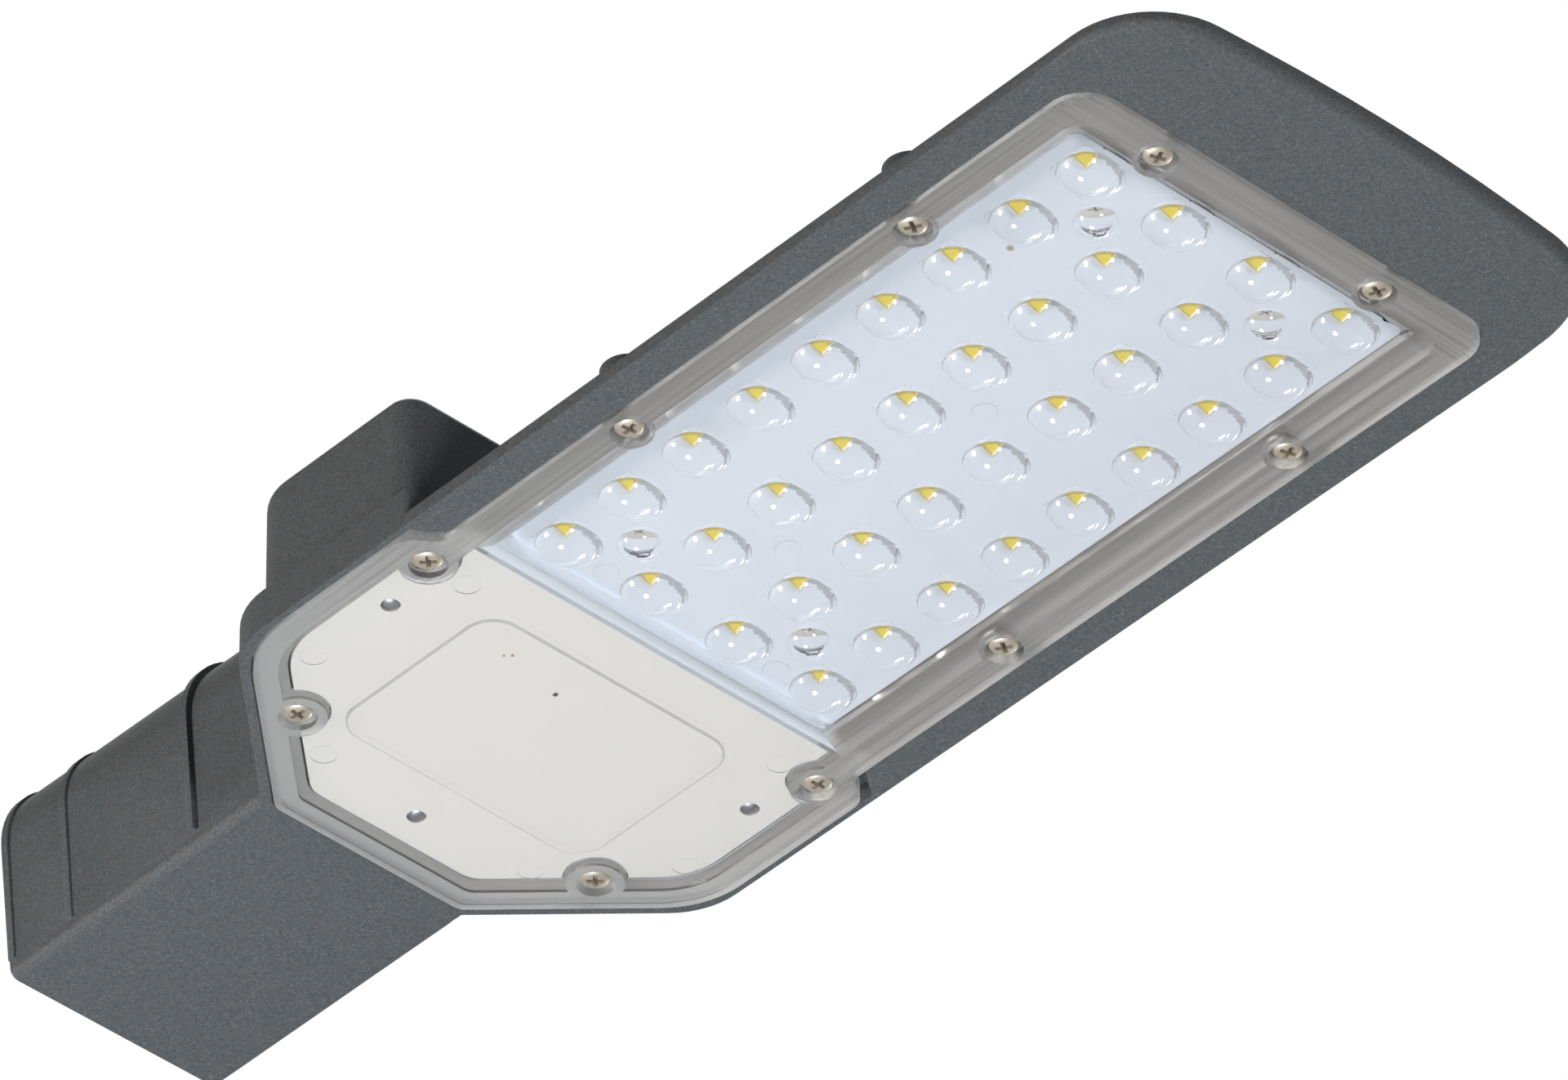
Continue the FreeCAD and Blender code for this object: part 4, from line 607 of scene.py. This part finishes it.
def makeCover():
    look, shape = lensLook, coverLook
    shell = cadCopy("lens_cover")
    lowest = look["face"] - look["height"] - shape["outerRise"]
    outer = [f for f in shell.faces if inRecess(f, *shape["outerField"], lowest, look["face"])
             and abs(f.normal.x) < 0.9999]
    lowest = look["back"] - shape["innerRise"]
    inner = [f for f in shell.faces if inRecess(f, *shape["innerField"], lowest, look["back"])
             and f not in outer]
    bmesh.ops.delete(shell, geom=outer + inner, context="FACES")
    shapeShell(shell)
    bm = bmesh.new()
    bm.from_mesh(plainMesh("coverShell", shell))
    lens, pocket, mark = makeLens(), makePocket(), makeMark()
    cap = makeDome(look["capRadius"], look["capHeight"], look["face"], look["capSteps"])
    hollow = makeDome(look["capHollow"], look["capHollowDeep"], look["back"], look["hollowSteps"], rings=4,
                      oval=True)
    for face in hollow.polygons:
        face.material_index = inside
    for place in look["marks"]:
        stamp(bm, mark, (*place, 0))
    for place in lensPlaces():
        stamp(bm, lens, (*place, 0))
        stamp(bm, pocket, (*place, 0))
    for place in capPlaces():
        stamp(bm, cap, (*place, 0))
        stamp(bm, hollow, (*place, 0))
    for height in (look["face"], look["back"]):
        fillBetween(bm, height)
    sheet = [f for f in bm.faces if f.normal.z ** 2 > 0.99 and atHeight(f.verts, look["back"])]
    around = {part for f in sheet for part in (*f.verts, *f.edges, f)}
    nearEdge = shape["nearEdge"] * mm               # the inner side is frosted up to here
    bmesh.ops.bisect_plane(bm, geom=list(around), plane_co=(nearEdge, 0, 0), plane_no=(1, 0, 0))
    for face in bm.faces:
        if face.normal.z ** 2 > 0.99 and atHeight(face.verts, look["back"]):
            face.material_index = inside if face.calc_center_median().x > nearEdge else frosted
    bmesh.ops.remove_doubles(bm, verts=bm.verts[:], dist=weldMm * mm)
    bmesh.ops.recalc_face_normals(bm, faces=bm.faces[:])
    print("cover: open edges", sum(e.is_boundary for e in bm.edges), "faces", len(bm.faces))
    piece = placePiece("lensCover", makeMesh("lensCover", bm, shape["sharp"]),
                       [made[name] for name in coverFinishes], "clear_cover", "lens_cover")
    levelShading(piece)


makeCover()
print("clear cover made")


# Round-headed screws with a cross recess, for the cover and for the board

coverScrew = dict(head=6.4, tall=1.8, shank=3.5, length=12.0, pitch=1.2, recess=5.0, slot=1.35, deep=1.9,
                  seat=-26.8, turnStep=0.9, turnSide=0.35)
boardScrew = dict(head=5.4, tall=0.9, shank=3.0, length=4.6, pitch=0.8, recess=2.8, slot=0.6, deep=0.6,
                  seat=-21.8, turnStep=1.1)
screwShape = dict(
    core=0.8, tip=0.5, brim=0.6, crossFloor=0.55,   # shares of the shank, the head's height and the recess
    edge=0.1, neck=0.4, plain=1.5, point=0.6,       # lengths: rounded edge, and the parts without a thread
)


def makeScrew(look, steps=40):                      # stands on its seat, head towards -Z
    shape = screwShape
    head, shank = look["head"] / 2, look["shank"] / 2
    core = shank * shape["core"]
    profile = [(0, -look["tall"])]
    for part in range(1, 7):                        # domed top, rolled over into a short edge
        angle = part / 6 * math.pi / 2
        rise = shape["brim"] + (1 - shape["brim"]) * math.cos(angle)
        profile.append((head * math.sin(angle) ** 0.8, -look["tall"] * rise))
    profile += [(head, -shape["edge"]), (head - shape["edge"], 0), (shank, 0)]
    turns = int((look["length"] - shape["plain"]) / look["pitch"])
    for turn in range(turns):                       # thread as rings, between its neck and its tip
        start = shape["neck"] + turn * look["pitch"]
        profile += [(shank, start), (core, start + look["pitch"] * 0.3), (core, start + look["pitch"] * 0.7)]
    profile += [(core, look["length"] - shape["point"]), (shank * shape["tip"], look["length"]),
                (0, look["length"])]
    bm = bmesh.new()
    turnProfile(bm, profile, steps)
    screw = bpy.data.objects.new("screwBlank", makeMesh("screwBlank", bm))
    cutter = bmesh.new()
    for turn in (0, math.pi / 2):
        blade = bmesh.ops.create_cube(cutter, size=1.0)["verts"]
        size = (look["recess"] * mm, look["slot"] * mm, look["deep"] * 2 * mm)
        bmesh.ops.scale(cutter, verts=blade, vec=size)
        bmesh.ops.rotate(cutter, verts=blade, cent=(0, 0, 0), matrix=Matrix.Rotation(turn, 3, "Z"))
        bmesh.ops.translate(cutter, verts=blade, vec=(0, 0, -look["tall"] * mm))
        for vert in blade:                          # the wings taper towards the floor of the recess
            if vert.co.z > -look["tall"] * mm:
                vert.co.x *= shape["crossFloor"]
                vert.co.y *= shape["crossFloor"]
    for face in cutter.faces:
        face.material_index = 1                     # painted shade in the cross recess
    tool = bpy.data.objects.new("crossTool", makeMesh("crossTool", cutter))
    for item in (screw, tool):
        scene.collection.objects.link(item)
        item.data.materials.append(made["nickelScrew"])
        item.data.materials.append(made["recessShade"])
    cut = screw.modifiers.new("cross", "BOOLEAN")
    cut.operation = "DIFFERENCE"
    cut.object = tool
    cut.solver = "EXACT"
    cut.use_self = True
    view = bpy.context.evaluated_depsgraph_get()
    mesh = bpy.data.meshes.new_from_object(screw.evaluated_get(view))
    for item in (screw, tool):
        bpy.data.objects.remove(item)
    mesh.materials.clear()
    return mesh


coverScrewPlaces = [(364.2, 31.5), (314.7, 54.0), (227.8, 54.0), (167.1, 56.3), (110.1, 43.0)]  # on both sides


def makeScrews():                                   # each is turned as it came to rest when driven in
    look = coverScrew
    blank = makeScrew(look)
    bm = bmesh.new()
    for index, (x, y) in enumerate(coverScrewPlaces):
        for side in (-1, 1):
            stamp(bm, blank, (x, side * y, look["seat"]), index * look["turnStep"] + side * look["turnSide"])
    finish = [made["nickelScrew"], made["recessShade"]]
    placePiece("coverScrews", makeMesh("coverScrews", bm), finish, "nickel_screw", "cover_screws")
    look = boardScrew
    blank = makeScrew(look, 32)
    bm = bmesh.new()
    for index, (x, y) in enumerate(capPlaces()):
        stamp(bm, blank, (x, y, look["seat"]), index * look["turnStep"])
    # the board's screws get the paler painted-light copy of the plating
    finish = [made["paleScrewPaintedLight"], made["recessShade"]]
    placePiece("boardScrews", makeMesh("boardScrews", bm), finish, "nickel_screw", "board_screws")


makeScrews()
print("screws made")


# Light sources: a white frame round a square of yellow phosphor

ledLook = dict(side=3.0, tall=0.7, face=-22.5, window=2.2, slope=0.08, sunk=0.12)


def makeLeds():
    look = ledLook
    bm = bmesh.new()
    cube = bmesh.ops.create_cube(bm, size=1.0)["verts"]
    bmesh.ops.scale(bm, verts=cube, vec=(look["side"] * mm, look["side"] * mm, look["tall"] * mm))
    bmesh.ops.translate(bm, verts=cube, vec=(0, 0, (look["face"] + look["tall"] / 2) * mm))
    low = min(bm.faces, key=lambda f: f.calc_center_median().z)
    bmesh.ops.inset_region(bm, faces=[low], thickness=(look["side"] - look["window"]) / 2 * mm, depth=0)
    bmesh.ops.inset_region(bm, faces=[low], thickness=look["slope"] * mm, depth=-look["sunk"] * mm)
    low.material_index = 1                          # the phosphor
    blank = plainMesh("ledBlank", bm)
    bm = bmesh.new()
    for x, y in lensPlaces():
        stamp(bm, blank, (x, y, 0))
    finish = [made["ledBody"], made["phosphorGel"]]
    placePiece("ledPackages", makeMesh("ledPackages", bm), finish, "led_phosphor", "led_packages")


makeLeds()
print("light sources made")


# White cover of the driver room, and the heads of its pins

plateLook = dict(edgeMm=0.3, colour="#F4F1EB", tint="#F0EDE6", grainMm=0.8, rough=0.5, bump=0.15)
plateSpecks = [(153.8, -22.9, -26.5, 0.35, "#A08A52"), (155.1, -21.5, -26.5, 0.5, "#9C8550"),
               (151.4, -5.9, -26.5, 0.75, "#3A3526")]       # place and radius in mm, and tone
pinLook = dict(head=4.2, tall=1.0, brim=0.25, shank=2.4, length=7.0, tip=0.6, point=0.4, sink=-25.5)
pinPlaces = [(150.1, -51.9), (150.1, 51.9), (100.0, 0.0)]


def makePlate():
    bm = cadCopy("driver_cover")
    mergeFlats(bm)
    material = speckedSurface("mattWhiteAbs", plateLook, plateSpecks)   # moulded sheet, matt and slightly warm
    piece = placePiece("driverCover", makeMesh("driverCover", bm), [material], "plate_white", "driver_cover")
    softenEdges(piece, plateLook["edgeMm"])


def makePins():
    look = pinLook
    head, shank = look["head"] / 2, look["shank"] / 2
    profile = []
    for part in range(7):                           # domed top above a short edge
        angle = part * math.pi / 12
        rise = look["brim"] + (1 - look["brim"]) * math.cos(angle)
        profile.append((head * math.sin(angle), -look["tall"] * rise))
    profile += [(head, 0), (shank, 0), (shank, look["length"] - look["point"]),
                (shank * look["tip"], look["length"]), (0, look["length"])]
    bm = bmesh.new()
    turnProfile(bm, profile, 32)
    blank = plainMesh("pinBlank", bm)
    bm = bmesh.new()
    for x, y in pinPlaces:
        stamp(bm, blank, (x, y, look["sink"]))
    placePiece("driverCoverPins", makeMesh("driverCoverPins", bm), [made["stainlessPin"]], "steel_pin",
               "driver_cover_pins")


makePlate()
makePins()
print("driver cover made")


# Clamp bolts and lock nuts on top of the pole adapter

boltLook = dict(
    places=(20.0, 52.0), flats=13.0, head=5.3, chamfer=0.7, nut=6.5,        # along X, and the hexagons' sizes
    seat=33.0, grip=7.0, end=25.85, shank=8.0, pitch=1.25,                  # seat and end in Z, and the thread
    core=0.87, tip=0.8, point=0.8, threadFrom=1.2, plain=3.0, neck=0.5,     # two shares of the shank, then mm
    turnFirst=0.2, turnStep=0.5,                    # the heads are turned as they were tightened
)


def makeHexagon(bm, flats, low, high, chamfer):     # a head or nut, chamfered at its upper end
    ring = bmesh.ops.create_circle(bm, cap_ends=True, segments=6, radius=flats / math.sqrt(3) * mm)["verts"]
    face = ring[0].link_faces[0]
    raised = bmesh.ops.extrude_face_region(bm, geom=[face])["geom"]
    top = [g for g in raised if isinstance(g, bmesh.types.BMVert)]
    bmesh.ops.translate(bm, verts=top, vec=(0, 0, (high - low) * mm))
    bmesh.ops.translate(bm, verts=ring + top, vec=(0, 0, low * mm))
    edges = [e for e in bm.edges if all(v in top for v in e.verts)]
    bmesh.ops.bevel(bm, geom=edges, offset=chamfer * mm, offset_type="OFFSET", affect="EDGES", segments=2,
                    profile=0.5, material=-1)
    bmesh.ops.recalc_face_normals(bm, faces=bm.faces[:])


def makeBolts():
    look = boltLook
    under = look["seat"] + look["grip"]
    bolt = bmesh.new()
    makeHexagon(bolt, look["flats"], under, under + look["head"], look["chamfer"])
    shank = look["shank"] / 2
    profile = [(0, look["end"]), (shank * look["tip"], look["end"]), (shank, look["end"] + look["point"])]
    turns = int((under - look["end"] - look["plain"]) / look["pitch"])
    for turn in range(turns):                       # thread as rings, between its tip and its neck
        start = look["end"] + look["threadFrom"] + turn * look["pitch"]
        profile += [(shank, start), (shank * look["core"], start + look["pitch"] / 2)]
    profile += [(shank, under - look["neck"]), (shank, under), (0, under)]
    thread = bmesh.new()
    turnProfile(thread, profile, 32)
    nut = bmesh.new()
    makeHexagon(nut, look["flats"], look["seat"], look["seat"] + look["nut"], look["chamfer"])
    bolts = [makeMesh("boltHead", bolt), makeMesh("boltThread", thread)]
    nuts = [makeMesh("nutBlank", nut)]
    for name, meshes, node in (("clampBolts", bolts, "clamp_bolts"),
                               ("clampLockNuts", nuts, "clamp_lock_nuts")):
        bm = bmesh.new()
        for index, x in enumerate(look["places"]):
            turn = look["turnFirst"] + index * look["turnStep"] if meshes is bolts else 0.0
            for mesh in meshes:
                stamp(bm, mesh, (x, 0, 0), turn)
        placePiece(name, makeMesh(name, bm), [made["zincPlatedSteel"]], "steel_screw", node)


makeBolts()
print("clamp bolts made")


# CAD nodes that keep their form and get a finish

boardLook = dict(colour="#ECF1F8", tint="#E6ECF4", grainMm=0.8, rough=0.35, cloudMm=12.0)
boardSpecks = [(319.2, -30.6, -21.8, 1.1, "#BCB095"), (177.9, 30.7, -21.8, 0.6, "#6E5B33")]
kept = {
    "led_board": speckedSurface("whiteSolderMask", boardLook, boardSpecks),     # cool white lacquer, soft sheen
    "seal_gasket": made["siliconeSeal"],
    "thermal_pad": made["siliconePad"],
    "board_connector": made["whiteNylon"],
    "driver_case": made["galvanisedDriverCase"],
    "driver_lid": made["galvanisedDriverCase"],
    "driver_screws": made["zincPlatedSteel"],
    "driver_circuit_board": made["greenSolderMask"],
    "transformer_core": made["ferrite"],
    "transformer_winding": made["windingCopper"],
    "driver_capacitors": made["capacitorSleeve"],
    "driver_inductor": made["windingCopper"],
    "terminal_block": made["polyamideTerminal"],
    "terminal_screws": made["zincPlatedSteel"],
    "cable_grommet": made["rubberGrommet"],
    "earth_screw": made["zincPlatedSteel"],
    "earth_washer": made["zincPlatedSteel"],
    "led_lead_positive": made["redLead"],
    "led_lead_negative": made["blackLead"],
    "mains_lead_live": made["brownLead"],
    "mains_lead_neutral": made["blueLead"],
}
for nodeName, material in kept.items():
    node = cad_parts[nodeName]
    node.data.materials.clear()
    node.data.materials.append(material)
print("finishes on", len(kept), "kept nodes")


# Stage: pale floor, white backdrop, soft lamps and the camera

stageLook = dict(floorZ=-7.0, floorSide=60.0, floor="#E9E8E5", room=0.1, shine=0.45, through=0.4)
lamps = {                                           # place from the head and size in metres, power in watts
    "keyLamp": dict(place=(-0.18, -0.12, -0.93), size=0.24, power=5.4, colour="#F3F9FF"),
    "endLamp": dict(place=(1.5, -0.35, -0.9), size=0.36, power=11.5, colour="#FFFFFF"),
    "backLamp": dict(place=(-0.75, 1.9, -0.35), size=0.4, power=8, colour="#FFFFFF"),
    "sideLamp": dict(place=(-1.1, -2.0, -0.8), size=0.6, power=35, colour="#FFF8F2"),
    "topLamp": dict(place=(-0.6, 0.8, 2.2), size=1.6, power=40, colour="#FFFFFF"),
}
cameraLook = dict(                                  # solved from the photo's grid of lenses, in metres
    place=(1.9566, -1.6360, -2.0043), lens=336.07,
    right=(0.67855, 0.73447, -0.01075), down=(-0.47479, 0.42738, -0.76937),
    forward=(-0.56048, 0.52716, 0.63872),
)


def makeStage():
    look = stageLook
    bm = bmesh.new()
    bmesh.ops.create_grid(bm, x_segments=1, y_segments=1, size=look["floorSide"] / 2)
    bmesh.ops.translate(bm, verts=bm.verts[:], vec=(0, 0, look["floorZ"]))
    mesh = plainMesh("paleFloor", bm)
    floor = bpy.data.objects.new("paleFloor", mesh)
    scene.collection.objects.link(floor)
    material, tree = newMaterial("paleFloorPaint")
    matt = addNode(tree, "BsdfDiffuse", {"Color": linearColour(look["floor"])})
    glow = addNode(tree, "Emission", {"Color": linearColour(look["floor"]), "Strength": 1.0})
    seen = addNode(tree, "LightPath").outputs["Is Camera Ray"]
    mix = addNode(tree, "MixShader", {0: seen, 1: matt.outputs[0], 2: glow.outputs[0]})
    addNode(tree, "OutputMaterial", {"Surface": mix.outputs[0]})
    mesh.materials.append(material)

    world = bpy.data.worlds.new("whiteRoom")
    world.use_nodes = True
    scene.world = world
    tree = world.node_tree
    tree.nodes.clear()
    path = addNode(tree, "LightPath")
    strength = look["room"]                         # dim for the matt surfaces, and pure white behind the head
    for ray, level in (("Is Glossy Ray", look["shine"]), ("Is Transmission Ray", look["through"]),
                       ("Is Camera Ray", 1.0)):
        strength = addNode(tree, "MapRange", {"Value": path.outputs[ray], "To Min": strength,
                                              "To Max": level}).outputs[0]
    sky = addNode(tree, "Background", {"Color": (1, 1, 1, 1), "Strength": strength})
    addNode(tree, "OutputWorld", {"Surface": sky.outputs[0]})


def makeLamps():
    centre = sum(cadBox, Vector()) / 2
    for name, look in lamps.items():
        light = bpy.data.lights.new(name, "AREA")
        light.shape = "DISK"
        light.size = look["size"]
        light.energy = look["power"]
        light.color = linearColour(look["colour"])[:3]
        lamp = bpy.data.objects.new(name, light)
        scene.collection.objects.link(lamp)
        lamp.location = centre + Vector(look["place"])
        lamp.rotation_euler = (centre - lamp.location).to_track_quat("-Z", "Y").to_euler()
        lamp.visible_camera = False


def makeCamera():
    look = cameraLook
    data = bpy.data.cameras.new("photoCamera")
    data.sensor_fit = "HORIZONTAL"
    data.sensor_width = 36.0
    data.lens = look["lens"]
    data.clip_start, data.clip_end = 0.05, 200.0
    camera = bpy.data.objects.new("photoCamera", data)
    scene.collection.objects.link(camera)
    axes = Matrix((look["right"], [-d for d in look["down"]], [-f for f in look["forward"]])).transposed()
    camera.rotation_mode = "QUATERNION"
    camera.rotation_quaternion = axes.to_quaternion()
    camera.location = look["place"]
    scene.camera = camera


makeStage()
makeLamps()
makeCamera()
print("stage, lamps and camera made")
